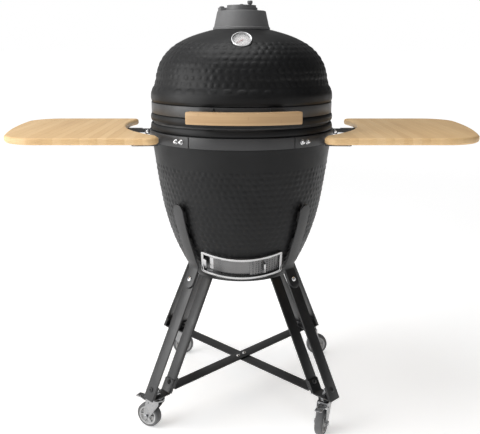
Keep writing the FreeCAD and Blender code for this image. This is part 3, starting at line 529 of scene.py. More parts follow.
def pebbles(arc, radius, rows, pitch, width, seed, proud, groove):
    """How far the glaze stands out at each (arc, angle): rows of raised blobs, staggered.

    rows is (start, end) along the arc. Blobs differ a little in size, place and height.
    """
    angle = np.arange(TURNS) * math.tau / TURNS
    out = np.zeros((len(arc), TURNS))
    start, end = rows
    for i, (s, r) in enumerate(zip(arc, radius)):
        if not start <= s <= end:
            continue
        row = int((s - start) // pitch)
        table = np.random.default_rng(seed + row)
        size = width * (1.75 if row == 0 else 1.0)
        row_r = np.interp(start + (row + 0.5) * pitch, arc, radius)
        count = max(8, int(round(math.tau * row_r / size)))
        jitter = table.random((5, count))
        cell = angle * count / (math.tau) + 0.5 * (row % 2) + table.random()
        j = np.floor(cell).astype(int)
        pick = j % count
        half_u = math.pi * r / count
        u = (cell - j - 0.5) * 2 * half_u + (jitter[0, pick] - 0.5) * 0.45 * half_u
        v = (s - start) - (row + 0.5) * pitch + (jitter[1, pick] - 0.5) * 0.16 * pitch
        a = half_u * (0.66 + 0.22 * jitter[2, pick])
        b = pitch / 2 * (0.66 + 0.2 * jitter[3, pick])
        d = ((np.abs(u) / a) ** 2.6 + (np.abs(v) / b) ** 2.6) ** (1 / 2.6)
        t = np.clip((1.12 - d) / 0.62, 0, 1)
        rise = t * t * (3 - 2 * t) * (0.45 + 0.55 * jitter[4, pick])
        fade = np.clip(min(s - start, end - s) / 5.0, 0, 1)
        out[i] = fade * (rise * (proud + groove) - groove)
    return out


def shell(name, body, outer, inner, relief_rows, seed, pitch, width, proud, clamp, skip, hides):
    """A turned ceramic shell with its pebble pattern. outer and inner are (r, z) curves."""
    curve = np.array(outer)
    arc = np.r_[0, np.cumsum(np.hypot(*np.diff(curve, axis=0).T))]
    along = np.gradient(curve, axis=0)
    along /= np.linalg.norm(along, axis=1)[:, None]
    normal = np.c_[along[:, 1], -along[:, 0]]
    lift = pebbles(arc, curve[:, 0], relief_rows, pitch, width, seed, proud, GROOVE)
    inside = np.repeat(np.array(inner)[:, :, None], TURNS, 2)
    r = np.vstack([curve[:, :1] + normal[:, :1] * lift, inside[:, 0]])
    z = np.vstack([curve[:, 1:] + normal[:, 1:] * lift, inside[:, 1]])
    angle = np.arange(TURNS) * math.tau / TURNS
    grid = clamp(np.stack([r * np.cos(angle), r * np.sin(angle), z], axis=2))
    verts = [tuple(p) for p in grid.reshape(-1, 3)]
    index = np.arange(len(verts)).reshape(-1, TURNS)
    a, b = index[:-1], index[1:]
    quads = np.stack([a, np.roll(a, -1, 1), np.roll(b, -1, 1), b], axis=2).reshape(-1, 4)
    quads = quads[~skip(grid.reshape(-1, 3)[quads].mean(axis=1))]
    faces = [tuple(q) for q in quads.tolist()]
    ahead = np.roll(index, -1, 1)
    if body == BASE:
        for here, there, z_pole in ((ahead[0], index[0], outer[0][1]),
                (index[-1], ahead[-1], inner[-1][1])):
            faces += [(int(a), int(b), len(verts)) for a, b in zip(here, there)]
            verts.append((0.0, 0.0, z_pole))
    else:
        faces += [tuple(map(int, q)) for q in zip(index[-1], ahead[-1], ahead[0], index[0])]
    return piece(name, verts, faces, CERAMIC, body, "ceramic", hides, smooth=50)


def placed(matrix, points):
    """An array of points moved by a matrix."""
    matrix = np.array(matrix)
    return points @ matrix[:3, :3].T + matrix[:3, 3]


def door_angles(own):
    return np.degrees(np.arctan2(own[:, 0], -own[:, 1]))


def seat_for_door(grid):
    """Draws the shell in behind the draft frame, as its seat does."""
    flat = grid.reshape(-1, 3)
    own = placed(DOOR_PLACE.inverted(), flat)
    reach = np.hypot(own[:, 0], own[:, 1])
    under = (np.abs(own[:, 2]) < FRAME_HALF_HEIGHT - 0.4) & (reach > SEAT_R) \
        & (np.abs(door_angles(own)) < FRAME_HALF_ANGLE - 0.3) & (flat[:, 1] < 0)
    own[under, :2] *= (SEAT_R / reach[under])[:, None]
    flat[under] = placed(DOOR_PLACE, own)[under]
    return flat.reshape(grid.shape)


def in_window(middles):
    own = placed(DOOR_PLACE.inverted(), middles)
    angle = door_angles(own)
    left, right = WINDOW_ANGLES
    return (np.abs(own[:, 2]) < WINDOW_HALF_HEIGHT + 0.8) & (angle > left - 0.3) \
        & (angle < right + 0.3) & (middles[:, 1] < -100)


def seat_for_gauge(grid):
    flat = grid.reshape(-1, 3)
    own = placed(GAUGE_PLACE.inverted(), flat)
    under = (np.hypot(own[:, 0], own[:, 1]) < 27.6) & (own[:, 2] > GAUGE_SEAT) & (flat[:, 1] < 0)
    own[under, 2] = GAUGE_SEAT
    flat[under] = placed(GAUGE_PLACE, own)[under]
    return flat.reshape(grid.shape)


def egg():
    foot = rounded([(60, 435), (160, 435, 4), (165, 440, 3), (168, 445)])
    side = natural_curve([(165, 440), (197, 505), (234, 618), (255, 741), (266, 822)], 2.0)
    rim = rounded([(266, 822), (268.4, 832, 12), (268.4, 866, 3), (270.4, 869.5, 5),
        (270.8, 874, 9), (269.6, 882, 8), (267.2, 886, 3), (262, 886)])
    outer = list(map(tuple, foot[:-1])) + [tuple(p) for p in side[3:-1]] + rim
    inner = rounded([(250, 886), (243, 886, 3), (243, 870, 3), (242, 830, 30), (230, 745, 90),
        (209, 624, 120), (172, 514, 60), (135, 460, 12), (60, 460)])
    shell("base_shell_glazed", BASE, outer, inner, (120, 456), 41, 16.8, 18.5, 1.05, seat_for_door,
        in_window, ["base_shell"])
    lip = rounded([(262, 891), (266.6, 891, 3), (269.4, 896, 8), (270, 902, 8), (269.4, 908, 8),
        (267, 913, 2.5), (264, 914, 0.8), (264, 946, 0.8), (266, 947.5, 2.5), (268, 954, 5),
        (268.2, 962)])
    side = natural_curve([(268.1, 960), (267.5, 970), (257, 994), (249, 1028), (224, 1079),
        (182, 1113), (134, 1134), (88, 1147)], 2.0)
    outer = lip + [tuple(p) for p in side[2:]]
    inner = rounded([(86, 1147), (55, 1147, 2), (55, 1123, 3), (120, 1109, 60), (164, 1091, 60),
        (203, 1062, 60), (225, 1026, 60), (235, 985, 60), (243, 945, 30), (243, 891, 3),
        (250, 891)])
    lip_length = float(np.hypot(*np.diff(np.array(lip), axis=0).T).sum())
    shell("dome_shell_glazed", "dome", outer, inner, (lip_length + 15, lip_length + 182), 57, 18.4,
        21.0, 1.0, seat_for_gauge, lambda middles: np.zeros(len(middles), bool), ["dome_shell"])


def loop_sweep(angles, heights, corner, section, place, reference):
    """Sweeps a closed (out, r) section round a bent rounded window. out is along the surface."""
    per_degree = math.radians(1) * reference
    plan = rounded([(angles[0] * per_degree, heights[0], corner),
        (angles[1] * per_degree, heights[0], corner), (angles[1] * per_degree, heights[1], corner),
        (angles[0] * per_degree, heights[1], corner)], closed=True, turn=11.3)
    dense = []
    for a, b in zip(plan, plan[1:] + plan[:1]):
        parts = max(1, int(math.hypot(b[0] - a[0], b[1] - a[1]) / 6))
        dense += [(a[0] + (b[0] - a[0]) * k / parts, a[1] + (b[1] - a[1]) * k / parts)
            for k in range(parts)]
    rings = []
    for out, r in section:
        ring = inward(dense, -out)
        rings.append([place @ on_arc(r, u / per_degree, v) for u, v in ring])
    return loft(list(zip(*rings)), closed=True)


# Pieces ---------------------------------------------------------------------------------

def mirrored(half, *middle):
    """A profile of (r, z) points that is the same above z = 0 as below it."""
    return rounded([*half, *middle, *((r, -z, *corner) for r, z, *corner in reversed(half))])


def nut_profile(across, low, high):
    """A chamfered hexagon nut, as a profile and the rows that are hexagonal."""
    half = across / 2
    return [(0, low), (half * 0.96, low), (half, low + 0.7), (half, high - 0.7),
        (half * 0.96, high), (0, high)], (2, 3)


def domed(radius, height, low=0.0, socket=0.0):
    """A domed bolt head above z = low, with a round socket if asked."""
    top = low + height
    points = [(0, low), (radius, low), (radius, low + height * 0.25)]
    for k in range(1, 7):
        a = math.pi / 2 * k / 6
        reach = radius * math.cos(a)
        if reach < socket + 0.6:
            break
        points.append((reach, low + height * 0.25 + height * 0.75 * math.sin(a)))
    if socket:
        points += [(socket + 0.4, top), (socket, top - 0.4), (socket, top - height * 0.6),
            (0, top - height * 0.6)]
    else:
        points.append((0, top))
    return turned(points, 36)


def along(direction, spot):
    """Puts a piece built along +Z at a spot, pointing along a direction."""
    way = Vector(direction).normalized()
    turn = Vector((0, 0, 1)).rotation_difference(way)
    return Matrix.Translation(spot) @ turn.to_matrix().to_4x4()


def bands():
    piece("base_band_rolled", *ring_bar(BASE_BAND_R, BASE_BAND_R + BAND_T, *BASE_BAND_Z),
        BAND_STEEL, BASE, "band_steel", ["base_band"])
    piece("dome_band_rolled", *ring_bar(DOME_BAND_R, DOME_BAND_R + BAND_T, *DOME_BAND_Z),
        BAND_STEEL, "dome", "band_steel", ["dome_band"])
    plate = (PLATE_R, PLATE_R + BAND_T, *BASE_BAND_Z)
    split = PLATE_SPLIT - 0.4
    piece("front_plate_bent", *arc_bar(*plate, -split, split, 0.9, 2.0), BAND_STEEL, BASE,
        "band_steel", ["front_band_plate"])
    parts = []
    for side in (-1, 1):
        start, end = sorted((side * PLATE_SPLIT, side * SIDE_PLATE_END))
        parts.append(arc_bar(*plate, start, end, 0.9, 3.0))
        for y in ARM_Y:
            for offset in (-5.3, 5.3):
                middle = y + offset
                start_x = math.sqrt(272.5 ** 2 - middle ** 2)
                near, far, low, high = SHELF_PIVOT_X, SHELF_PIVOT_X + 8.5, 826.5, 843.5
                outline = rounded([(start_x, low + 0.7), (near, low, 8.3), (far, low, 8.3),
                    (far, high, 8.3), (near, high, 8.3), (start_x, high - 0.7)], closed=True)
                ear = slab([(side * x, z) for x, z in outline], -2, 2, 0.6)
                parts.append(moved(ear, upright(0, middle, 0)))
    piece("shelf_bracket_plates", *joined(parts), BAND_STEEL, BASE, "band_steel",
        ["shelf_brackets"], rework=weld)


def fasteners():
    parts = []
    crown = [(4.5 * (1 - v), 5.3 + 3.9 * (1 - u)) for u, v in reversed(quarter(6))]
    acorn = turned([(0, 0), (4.8, 0), (5, 0.5), (5, 4.6), (4.75, 5.2), *crown], 36, hexes=(2, 3))
    washer = turned([(0, -0.1), (6.6, -0.1), (6.9, 0.2), (6.9, 0.8), (6.6, 1.1), (0, 1.1)], 36)
    for angle in NUT_ANGLES:
        spot = on_arc(PLATE_R + BAND_T + 0.1, angle, sum(BASE_BAND_Z) / 2)
        out = Vector((spot.x, spot.y, 0))
        parts += [moved(acorn, along(out, spot)), moved(washer, along(out, spot))]
    for side in (-1, 1):
        for y in ARM_Y:
            spot = Vector((side * SHELF_PIVOT_X, y, SHELF_PIVOT_Z))
            parts.append(moved(domed(6, 4, 7.3), along((0, -1, 0), spot)))
            parts.append(moved(turned([(0, 7.3), (5.2, 7.3), (5.4, 7.8), (5.4, 10.6), (5.0, 11.2),
                (0, 11.3)], 36, hexes=(2, 3)), along((0, 1, 0), spot)))
            parts.append(moved(turned([(0, -7.2), (2.9, -7.2), (2.9, 7.2), (0, 7.2)], 24),
                along((0, 1, 0), spot)))
    piece("band_and_pivot_nuts", *joined(parts), CHROME, BASE, "bright_steel",
        ["bracket_fasteners"])


def with_grain(made, function):
    """Gives a mesh the "grain" vector that the bamboo finish reads."""
    mesh = made.data
    layer = mesh.attributes.new("grain", "FLOAT_VECTOR", "POINT")
    points = np.zeros(len(mesh.vertices) * 3)
    mesh.vertices.foreach_get("co", points)
    layer.data.foreach_set("vector", function(points.reshape(-1, 3)).astype(np.float32).ravel())


def handle():
    grip = arc_bar(*HANDLE_R, *HANDLE_Z, *HANDLE_ANGLES, 2.6, step=1.0)
    made = piece("handle_bent_bamboo", *grip, HANDLE_BAMBOO, "dome", "handle_bamboo",
        ["handle_grip"])
    middle = 0.32
    with_grain(made, lambda p: np.c_[np.arctan2(p[:, 0], -p[:, 1]) * middle, p[:, 2],
        np.hypot(p[:, 0], p[:, 1])])


def arc_points(first, through, last, step):
    """Points of the circular arc through three plan points, without the last one."""
    a, b, c = (complex(*p) for p in (first, through, last))
    w = (c - a) / (b - a)
    middle = a + (b - a) * (w - abs(w) ** 2) / (2j * w.imag)
    turn = cmath.phase((c - middle) / (a - middle)) % math.tau
    if cmath.phase((b - middle) / (a - middle)) % math.tau > turn:
        turn -= math.tau
    count = max(3, int(abs(turn) * abs(a - middle) / step))
    points = [middle + (a - middle) * cmath.exp(1j * turn * k / count) for k in range(count)]
    return [(p.real, p.imag) for p in points]


def shelf_outline():
    """The right shelf's plan: a rounded outer end, and a bay cut to the round of the egg."""
    lines = []

    def straight(a, b, step=14.0):
        count = max(1, int(math.hypot(b[0] - a[0], b[1] - a[1]) / step))
        lines.extend([(a[0] + (b[0] - a[0]) * k / count, a[1] + (b[1] - a[1]) * k / count)
            for k in range(count)])

    straight((262, -245), (555, -245))
    lines.extend(arc_points((555, -245), (623, -222), (662, -162), 7))
    lines.extend(arc_points((662, -162), (694, 10), (705, 185), 12))
    lines.extend(arc_points((705, 185), (677, 252), (610, 280), 7))
    straight((610, 280), (372, 280))
    lines.extend(arc_points((372, 280), (355, 272), (350, 254), 4))
    lines.extend(arc_points((350, 254), (357, 52), (236, -178), 7))
    straight((236, -178), (225, -212), 5)
    lines.extend(arc_points((225, -212), (235, -237), (262, -245), 4))
    return lines


def board(side):
    """A shelf of edge-glued strips, with a fine groove at each glue line."""
    node = "shelf_right" if side > 0 else "shelf_left"
    joints = [side * (0.240 + STAVE * k) for k in range(20)]

    def grooves(work):
        bmesh.ops.recalc_face_normals(work, faces=work.faces)
        for x in joints:
            for offset in (-0.0005, 0.0, 0.0005):
                bmesh.ops.bisect_plane(work, geom=work.verts[:] + work.edges[:] + work.faces[:],
                    dist=1e-5, plane_co=(x + offset, 0, 0), plane_no=(1, 0, 0))
        for vert in work.verts:
            if min(abs(vert.co.x - x) for x in joints) < 1e-4:
                vert.co.z += -0.00035 if vert.co.z > 0.854 else 0.00035
        bmesh.ops.triangulate(work, faces=[f for f in work.faces if len(f.verts) > 4])

    made = piece(node + "_staves", *slab([(side * x, y) for x, y in shelf_outline()], *SHELF_Z, 7.5,
        6), SHELF_BAMBOO, node, "bamboo", [node], smooth=24, rework=grooves)
    with_grain(made, lambda p: np.c_[p[:, 1], p[:, 0], p[:, 2]])


def vent():
    body = turned(rounded([(74.5, 1147.5), (83, 1147.5, 1.2), (83, 1153.5, 1.5),
        (80.2, 1155.5, 1.5), (70, 1200, 3.2), (40, 1200, 1.2), (40, 1195, 1.0), (65, 1195, 2),
        (73, 1160)], closed=True, turn=20), 144, closed=True)
    piece("vent_cone_cast", *body, CAST_IRON, "dome", "cast_iron", ["vent_body"])
    low = KNOB_BOTTOM_Z
    knob = turned(rounded([(0, low), (5, low, 0.5), (5, low + 3, 1), (7.5, low + 4.5, 1),
        (7.5, low + 11, 1.6), (6.5, low + 12.1, 1), (0, low + 12.1)]), 40)
    piece("vent_knob_turned", *knob, CAST_IRON, "daisy_wheel", "cast_iron", ["vent_knob"],
        place=Matrix.Translation((24, -15, 0)))
    screw = joined([domed(7.5, 4, 1209.5, socket=2.4), turned([(0, 1191), (3.9, 1191),
        (3.9, 1209.5), (0, 1209.5)], 32), turned([(0, 1191), (5.0, 1191), (5.2, 1191.6),
            (5.2, 1194.6), (5, 1195), (0, 1195)], 36, hexes=(2, 3))])
    piece("vent_pivot_screw", *screw, CAST_IRON, "dome", "bright_steel", ["vent_pivot"],
        place=Matrix.Translation((VENT_PIVOT_X, 0, 0)))


def gauge():
    case = turned([(0, -80), (3.0, -80), (4, -78)] + rounded([(4, -70), (4, -6, 1), (28.5, -6, 0.8),
        (28.5, 6.2, 2), (27.4, 8.8, 1.6), (25.8, 9, 1.2), (23.6, 7.7, 0.8), (23.0, 7.5, 0.3),
        (24.6, 7.4), (24.6, 0)], turn=20) + [(0, 0)], 96)
    piece("gauge_case_bezel", *case, BEZEL, "dome", "gauge_case", ["thermometer_case"],
        place=GAUGE_PLACE)
    dial = turned([(0, 0.02), (24.5, 0.02), (24.5, 1.4), (24.2, 1.5), (1.0, 1.5), (1.0, 3.8),
        (0.8, 4.0), (0, 4.0)], 72)
    piece("gauge_dial_face", *dial, DIAL, "dome", "gauge_dial", ["thermometer_dial"],
        place=GAUGE_PLACE)
    marks = []
    for k in range(41):
        inner = DIAL_R - (3.2 if k % 8 == 0 else 2.2 if k % 4 == 0 else 1.2)
        wide = 0.34 if k % 8 == 0 else 0.18
        line = [(DIAL_R, wide), (inner, wide), (inner, -wide), (DIAL_R, -wide)]
        marks.append(moved(loft([[(u, v, z) for u, v in line] for z in (1.45, 1.56)]),
            turn_z(90 + DIAL_SWEEP - k * DIAL_SWEEP / 20)))
    for k in range(6):
        text = bpy.data.curves.new("dial_number", "FONT")
        text.body = str(k * 80)
        text.size = 4.6
        text.align_x = text.align_y = "CENTER"
        text.extrude = 0.05
        number = put("dial_number", text)
        flat = bpy.data.meshes.new_from_object(number)
        shift = turn_z(90 + DIAL_SWEEP - k * DIAL_SWEEP / 2.5) @ Vector((16.6, 0, 1.53))
        marks.append(([tuple(v.co + shift) for v in flat.vertices],
            [tuple(f.vertices) for f in flat.polygons]))
        bpy.data.objects.remove(number)
    piece("gauge_dial_print", *joined(marks), MARKS, "dome", "gauge_dial", place=GAUGE_PLACE)
    blade = slab([(-0.9, -6.5), (0.9, -6.5), (0.75, 0), (0.55, 12), (0, 18.4), (-0.55, 12),
        (-0.75, 0)], 2.4, 3.2, 0.15, 2)
    hub = turned([(1.1, 2.2), (2.6, 2.2), (2.6, 3.2), (2.3, 3.5), (1.1, 3.5)], 32, closed=True)
    piece("gauge_needle_blade", *moved(joined([blade, hub]), turn_z(DIAL_SWEEP)), NEEDLE, "needle",
        "gauge_needle", ["thermometer_needle"], place=GAUGE_PLACE)
    glass = turned([(0, 5.5), (24.4, 5.5), (24.5, 5.6), (24.5, 7.2), (23.4, 7.35), (0, 7.4)], 72)
    piece("gauge_glass_disc", *glass, GLASS, "dome", "gauge_glass", ["thermometer_glass"],
        place=GAUGE_PLACE)


def hinge():
    pin = turned(mirrored([(0, -70), (6, -70, 2), (8.5, -68.5, 2), (8.5, -64.4, 0.4), (5, -64.2)]),
        40)
    spot = (0, HINGE_Y, HINGE_Z)
    piece("hinge_pin_headed", *pin, CHROME, BASE, "bright_steel", ["hinge_pin"],
        place=along((1, 0, 0), spot))
    coils = []
    for low in (-49.0, 4.0):
        turns, wire, mean = 11, 1.85, 9.1
        sections = []
        for k in range(turns * 20 + 1):
            a = math.tau * k / 20
            x = low + wire + (45 - 2 * wire) * k / (turns * 20)
            out = Vector((0, math.cos(a), math.sin(a)))
            sections.append([Vector((x + wire * math.sin(b), HINGE_Y, HINGE_Z)) + out
                * (mean + wire * math.cos(b)) for b in (math.tau * m / 8 for m in range(8))])
        coils.append(loft(sections))
    piece("hinge_spring_coils", *joined(coils), SPRING, BASE, "spring_steel", ["hinge_springs"],
        rework=weld)


def door():
    """The rim of the draft frame is a rolled channel; a plate with a window backs it."""
    wide, tall = FRAME_HALF_ANGLE, FRAME_HALF_HEIGHT
    rim = loop_sweep((-wide, wide), (-tall, tall), 7.0, [(-9, 203.7), (-8.6, 206.1), (-7.4, 206.9),
        (-2.0, 206.9), (-0.5, 206.2), (0, 204.9), (0, 194.2), (-0.7, 193.5), (-6, 193.5),
        (-6, 203.7)], DOOR_PLACE, DOOR_R)
    left, right = WINDOW_ANGLES
    high = WINDOW_HALF_HEIGHT
    across = [-34.3, -31, -28, left] + [left + 2 * k for k in range(1, 15)] + [right] + [right + 2.1
        * k for k in range(1, 15)]
    up = [-37.5, -31, -high, -12, 0, 12, high, 31, 37.5]
    verts, faces, index = [], [], {}
    back_r, face_r = 193.6, 195.4
    for r in (back_r, face_r):
        for i, a in enumerate(across):
            for j, z in enumerate(up):
                index[r, i, j] = len(verts)
                verts.append(tuple(DOOR_PLACE @ on_arc(r, a, z)))
    cells = [(i, j) for i in range(len(across) - 1) for j in range(len(up) - 1)
        if not (left <= across[i] and across[i + 1] <= right and -high <= up[j]
            and up[j + 1] <= high)]
    for i, j in cells:
        ring = [(i, j), (i, j + 1), (i + 1, j + 1), (i + 1, j)]
        faces.append(tuple(index[back_r, *c] for c in ring))
        faces.append(tuple(index[face_r, *c] for c in reversed(ring)))
        for (di, dj), a, b in zip(((-1, 0), (0, 1), (1, 0), (0, -1)), ring, ring[1:] + ring[:1]):
            if (i + di, j + dj) not in cells:
                faces.append((index[face_r, *a], index[face_r, *b], index[back_r, *b],
                    index[back_r, *a]))
    piece("draft_frame_rolled", *joined([rim, (verts, faces)]), STAINLESS, BASE, "stainless",
        ["draft_frame"], rework=weld)
    pull = arc_bar(197.45, 198.7, -29, 29, -27.6, -24.2, 0.4, 2.0, step=0.6)
    curl = arc_bar(206.7, 208.5, -15.4, 15.4, -32.5, -29.5, 0.6, 2.0, step=0.6)
    piece("draft_door_pull_strip", *moved(joined([pull, curl]), DOOR_PLACE), STAINLESS,
        "draft_door", "stainless", rework=weld)
    loop = [arc_bar(207.8, 211.4, -16.4, 16.4, 17.8, 19.4, 0.5, step=0.4)]
    for low in (-16.4, 11.7):
        loop.append(arc_bar(201.1, 211.3, low, low + 4.7, 17.8, 19.4, 0.5, step=0.4))
    piece("draft_screen_pull_loop", *moved(joined(loop), DOOR_PLACE), STAINLESS, "draft_screen",
        "stainless", rework=weld)
    lining = loop_sweep((left + 0.1, right - 0.1), (0.1 - high, high - 0.1), 1.0,
        [(0, 158), (0, 193.6), (4, 193.6), (4, 158)], DOOR_PLACE, 180)
    piece("draught_tunnel_lining", *lining, CERAMIC, BASE, "ceramic", rework=weld)


def leg_r(z):
    """Where the middle of a leg's outer bar is at height z."""
    return 240.8 + (375 - z) * LEG_SLOPE


LEAN = math.atan(LEG_SLOPE)
BAR_HALF = 2.5 * math.sqrt(1 + LEG_SLOPE ** 2)
STRAP_HALF = 2.0 * math.sqrt(1 + LEG_SLOPE ** 2)


def stand():
    outer = bar([(leg_r(454.6), 454.6), (leg_r(105.6), 105.6)], 5, LEG_WIDTH)
    inner = bar([(leg_r(428.4) - LEG_GAP, 428.4), (leg_r(105.6) - LEG_GAP, 105.6)], 5, LEG_WIDTH)
    clear = BAR_HALF + STRAP_HALF + 0.05
    low, high = 107, 142
    foot = bar(rounded([(leg_r(high) - LEG_GAP + clear, high),
        (leg_r(low) - LEG_GAP + clear, low, 4), (leg_r(low) - clear, low, 4),
        (leg_r(high) - clear, high)]), 4, LEG_WIDTH, 0.7)
    tongue = BAR_HALF * 2 + 0.05
    strap = bar(rounded([(256, 668), (251.5, 640, 400), (240.5, 592, 400), (219.5, 530, 400),
        (206.5, 492, 30), (leg_r(470) + tongue, 470, 30), (leg_r(410) + tongue, 410)], turn=3), 5,
        LEG_WIDTH, 1.3, (True, True))
    for part, name, node in ((outer, "leg_outer_flat", "leg_outer_bars"),
            (inner, "leg_inner_flat", "leg_inner_bars"),
            (foot, "leg_foot_strap", "leg_feet"),
            (strap, "cradle_strap", "cradle_arms")):
        four = [moved(part, turn_z(angle)) for angle in CORNERS.values()]
        piece(name, *joined(four), STAND_STEEL, BASE, "stand_steel", [node], rework=weld)
    for z, angle, name, node in (
            (CROSS_BAR_Z[0], -45, "cross_bar_under", "cross_bar_lower"),
            (CROSS_BAR_Z[1], 45, "cross_bar_over", "cross_bar_upper")):
        middle, high = z + 2, z + 34
        end = leg_r(middle) - LEG_GAP - clear
        tab = leg_r(high) - LEG_GAP - clear
        cross = bar(rounded([(-tab, high), (-end, middle, 5), (end, middle, 5), (tab, high)]), 4,
            LEG_WIDTH, 0.7)
        piece(name, *moved(cross, turn_z(angle)), STAND_STEEL, BASE, "stand_steel", [node],
            rework=weld)
    piece("base_ring_flat", *ring_bar(118, 158, 429, 435), STAND_STEEL, BASE, "stand_steel",
        ["base_ring"])
    bright, painted = [], []
    way = Matrix.Rotation(math.pi / 2 - LEAN, 4, "Y")

    def leg_bolt(z, r, grip_in, grip_out):
        nut, hexed = nut_profile(13, -grip_in - 6, -grip_in)
        parts = [domed(7.5, 4, grip_out, socket=2.6), turned(nut, 36, hexes=hexed),
            turned([(0, -grip_in - 7.5), (3.6, -grip_in - 7.5), (3.9, -grip_in - 7),
                (3.9, grip_out), (0, grip_out)], 24)]
        return moved(joined(parts), Matrix.Translation((r, 0, z)) @ way)

    for angle in CORNERS.values():
        for bolts, z, shift, grips in ((bright, CRADLE_BOLT_Z, 0, (2.5, 7.56)),
                (painted, LEG_BOLT_Z, 0, (6.56, 2.5)),
                (painted, LEG_BOLT_Z, LEG_GAP, (6.56, 6.56))):
            bolts.append(moved(leg_bolt(z, leg_r(z) - shift, *grips), turn_z(angle)))
    for x, y in ((-10, -10), (10, 10)):
        nut, hexed = nut_profile(11, 103, 109)
        bright += [moved(domed(7, 3.5, 117, socket=2.4), Matrix.Translation((x, y, 0))),
            moved(turned(nut, 36, hexes=hexed), Matrix.Translation((x, y, 0)))]
    piece("stand_bolts_domed", *joined(bright), CHROME, BASE, "bright_steel", ["stand_bolts"])
    piece("stand_bolts_painted", *joined(painted), STAND_STEEL, BASE, "stand_steel")


def caster_matrix(corner):
    r = leg_r(LEG_FOOT_Z) - LEG_GAP / 2
    angle = math.radians(CORNERS[corner])
    return Matrix.Translation((r * math.cos(angle), r * math.sin(angle), 0)) \
        @ turn_z(TRAILS[corner])


def casters():
    stems = []
    lying = upright(TRAIL, 0, WHEEL_R)
    for corner in CORNERS:
        place = caster_matrix(corner)
        race = turned(rounded([(0, 91.3), (8, 91.3, 0.8), (8, 93.6, 0.5), (5, 93.8), (5, 100.1),
            (17, 100.1, 1), (17, 102.5, 1.5), (14, 105, 1), (6, 105), (6, 128, 0.8), (0, 128)]), 48)
        nut, hexed = nut_profile(17, 109, 118)
        stems += [moved(race, place), moved(turned(nut, 36, hexes=hexed), place)]
        cup = turned(rounded([(5.2, 94), (21, 94, 1), (21, 97.6, 2), (18, 99.7, 1.5), (5.2, 99.7)],
            closed=True), 60, closed=True)
        cheeks = []
        for side in (-1, 1):
            outline = rounded([(-13, 98.2, 2), (30, 98.2, 2), (33.5, 80, 10), (43.5, 37.5, 11),
                (32, 24.5, 11), (20.5, 37.5, 14), (-13, 84, 8)], closed=True)
            cheeks.append(moved(slab(outline, -1.25, 1.25, 0.5), upright(0, side * 15.75, 0)))
        bridge = slab(rounded([(-13, -17, 3), (30, -17, 3), (30, 17, 3), (-13, 17, 3)],
            closed=True), 94.1, 98.4, 0.9)
        axle = turned(mirrored([(0, -22), (5.6, -22, 1), (7, -20.8, 1), (7, -17.1, 0.3), (4, -17)]),
            36)
        fork = [cup, *cheeks, bridge, moved(axle, lying)]
        wheel = "wheel_" + corner
        piece("caster_fork_%s_pressed" % corner, *joined(fork), ZINC, "caster_" + corner,
            "zinc_steel", ["caster_fork_" + corner], place=place, rework=weld)
        tyre = turned(mirrored([(29, -12), (33.2, -12, 1), (36.6, -9.4, 2.5)], (WHEEL_R, 0, 60)),
            96, closed=True)
        piece("caster_tyre_%s_round" % corner, *moved(tyre, lying), TREAD, wheel, "tread_rubber",
            ["caster_tyre_" + corner], place=place)
        hub = turned(rounded([(4.1, -13), (9.5, -13, 1), (10, -5.2, 1.5), (22.6, -5.2, 2),
            (25, -11.6, 1), (28.9, -11.6, 0.6), (28.9, 11.6, 0.6), (25, 11.6, 1), (22.6, 5.2, 2),
            (10, 5.2, 1.5), (9.5, 13, 1), (4.1, 13)], turn=22), 72, closed=True)
        ribs = []
        for side in (-1, 1):
            for k in range(6):
                rib = slab([(9, -1.1), (24.6, -1.1), (24.6, 1.1), (9, 1.1)], 4.8, 9.6, 0.4, 2)
                flip = Matrix.Rotation(math.pi, 4, "X") if side < 0 else Matrix.Identity(4)
                ribs.append(moved(rib, flip @ turn_z(60 * k)))
        piece("caster_hub_%s_ribbed" % corner, *moved(joined([hub, *ribs]), lying), HUB, wheel,
            "wheel_hub", ["caster_hub_" + corner], place=place)
        if corner.startswith("front"):
            lever = bar(rounded([(16, 86), (40, 86, 8), (56, 92, 8), (71.8, 92)]), 2.5, 22, 0.6)
            ridges = [moved(slab([(-0.9, -9), (0.9, -9), (0.9, 9), (-0.9, 9)], 0, 1.0, 0.4, 2),
                Matrix.Translation((x, 0, 93.1))) for x in (57, 60.5, 64, 67.5)]
            boss = moved(turned(mirrored([(0, -12), (4.5, -12, 0.6)]), 32),
                along((0, 1, 0), BRAKE_PIVOT))
            pin = moved(turned(mirrored([(0, -19), (2.45, -19, 0.5)]), 24),
                along((0, 1, 0), BRAKE_PIVOT))
            piece("caster_brake_%s_pedal" % corner, *joined([lever, boss, pin] + ridges), ZINC,
                "brake_" + corner, "zinc_steel", ["caster_brake_" + corner], place=place,
                rework=weld)
    piece("caster_stems_raced", *joined(stems), ZINC, BASE, "zinc_steel", ["caster_stems"])


def carried_over():
    """CAD nodes whose shape is right take a finish and keep their mesh."""
    for finish, names in (
            (FELT, ("base_gasket", "dome_gasket")), (FIRE_CLAY, ("fire_box", "fire_ring")),
            (GRATE_IRON, ("charcoal_grate",)), (GRATE_STEEL, ("cooking_grate",)),
            (CAST_IRON, ("vent_disc", "daisy_wheel")), (CHROME, ("handle_screws",)),
            (BAND_STEEL, ("handle_brackets", "hinge_base_bracket", "hinge_dome_bracket",
                "shelf_arms_left", "shelf_arms_right")),
            (PANEL_STEEL, ("draft_door", "draft_screen")), (PAD_RUBBER, ("cradle_pads",))):
        for node in (NODES[name] for name in names):
            if not node.material_slots:
                node.data.materials.append(finish)
            for slot in node.material_slots:
                slot.material = finish


# Studio ---------------------------------------------------------------------------------

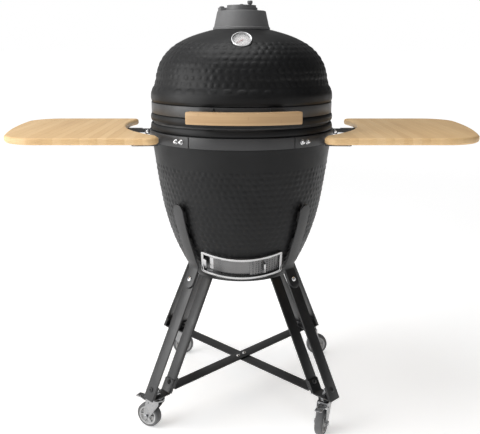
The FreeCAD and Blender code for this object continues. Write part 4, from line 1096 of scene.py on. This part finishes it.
def studio():
    """A pale floor that brightens into the distance, soft lamps, a white backdrop, the camera."""
    reach = 400.0
    floor_mesh = bpy.data.meshes.new("studio_floor")
    floor_mesh.from_pydata([(-reach, -reach, 0), (reach, -reach, 0), (reach, reach, 0),
        (-reach, reach, 0)], [], [(0, 1, 2, 3)])
    pale, shader = material("pale_floor", Roughness=0.9, Specular_IOR_Level=0.1,
        Emission_Color=(1, 1, 1, 1))
    link(pale, tones(pale, noise(pale, place_of(pale), 0.8, 2), (0.3, (0.86, 0.86, 0.86)),
        (0.7, (0.88, 0.88, 0.88))), shader.inputs["Base Color"])
    far = add(pale, "TexGradient", {"gradient_type": "SPHERICAL"},
        Vector=place_of(pale, (0.14, 0.14, 0.14)))
    glow = add(pale, "MapRange", Value=far.outputs["Fac"], From_Min=0.0, From_Max=0.8, To_Min=0.80,
        To_Max=0.46)
    link(pale, glow.outputs["Result"], shader.inputs["Emission Strength"])
    floor_mesh.materials.append(pale)
    put("studio_floor", floor_mesh)

    world = bpy.data.worlds.new("studio")
    bpy.context.scene.world = world
    world.use_nodes = True
    ways = add(world, "SeparateXYZ", Vector=add(world, "TexCoord").outputs["Generated"])
    across = add(world, "Math", {"operation": "MULTIPLY_ADD"}, i0=ways.outputs["X"], i1=0.5, i2=0.5)
    sky = tones(world, across.outputs["Value"], (0.05, (1, 1, 1)), (0.9, (0.06, 0.06, 0.06)))
    lit = add(world, "Background", Color=sky, Strength=0.62)
    seen = world.node_tree.nodes["Background"]
    seen.inputs["Color"].default_value = (1, 1, 1, 1)
    mix = add(world, "MixShader", i0=add(world, "LightPath").outputs["Is Camera Ray"],
        i1=lit.outputs["Background"], i2=seen.outputs["Background"])
    link(world, mix.outputs["Shader"], world.node_tree.nodes["World Output"].inputs["Surface"])

    for name, spot, aim, size, power in (
            ("key", (-3.3, -1.2, 1.9), (0, 0, 0.7), 3.0, 112.0),
            ("top", (-0.4, -0.1, 3.4), (0, 0, 0.8), 2.2, 46.0),
            ("fill", (2.8, -2.2, 1.6), (0, 0, 0.7), 2.0, 3.0)):
        lamp = bpy.data.lights.new(name, "AREA")
        lamp.size, lamp.energy = size, power
        light = put(name, lamp)
        light.location = spot
        light.rotation_euler = (Vector(aim) - Vector(spot)).to_track_quat("-Z", "Y").to_euler()

    lens = bpy.data.cameras.new("camera")
    lens.lens, lens.sensor_width = 48.75, 36.0
    camera = put("camera", lens)
    camera.location = (-0.0045, -1.969, 1.091)
    camera.rotation_euler = (math.radians(75.59), 0, 0)
    bpy.context.scene.camera = camera
    bpy.context.scene.view_settings.view_transform = "Standard"


studio()
egg()
bands()
fasteners()
handle()
board(1)
board(-1)
vent()
gauge()
hinge()
door()
stand()
casters()
carried_over()
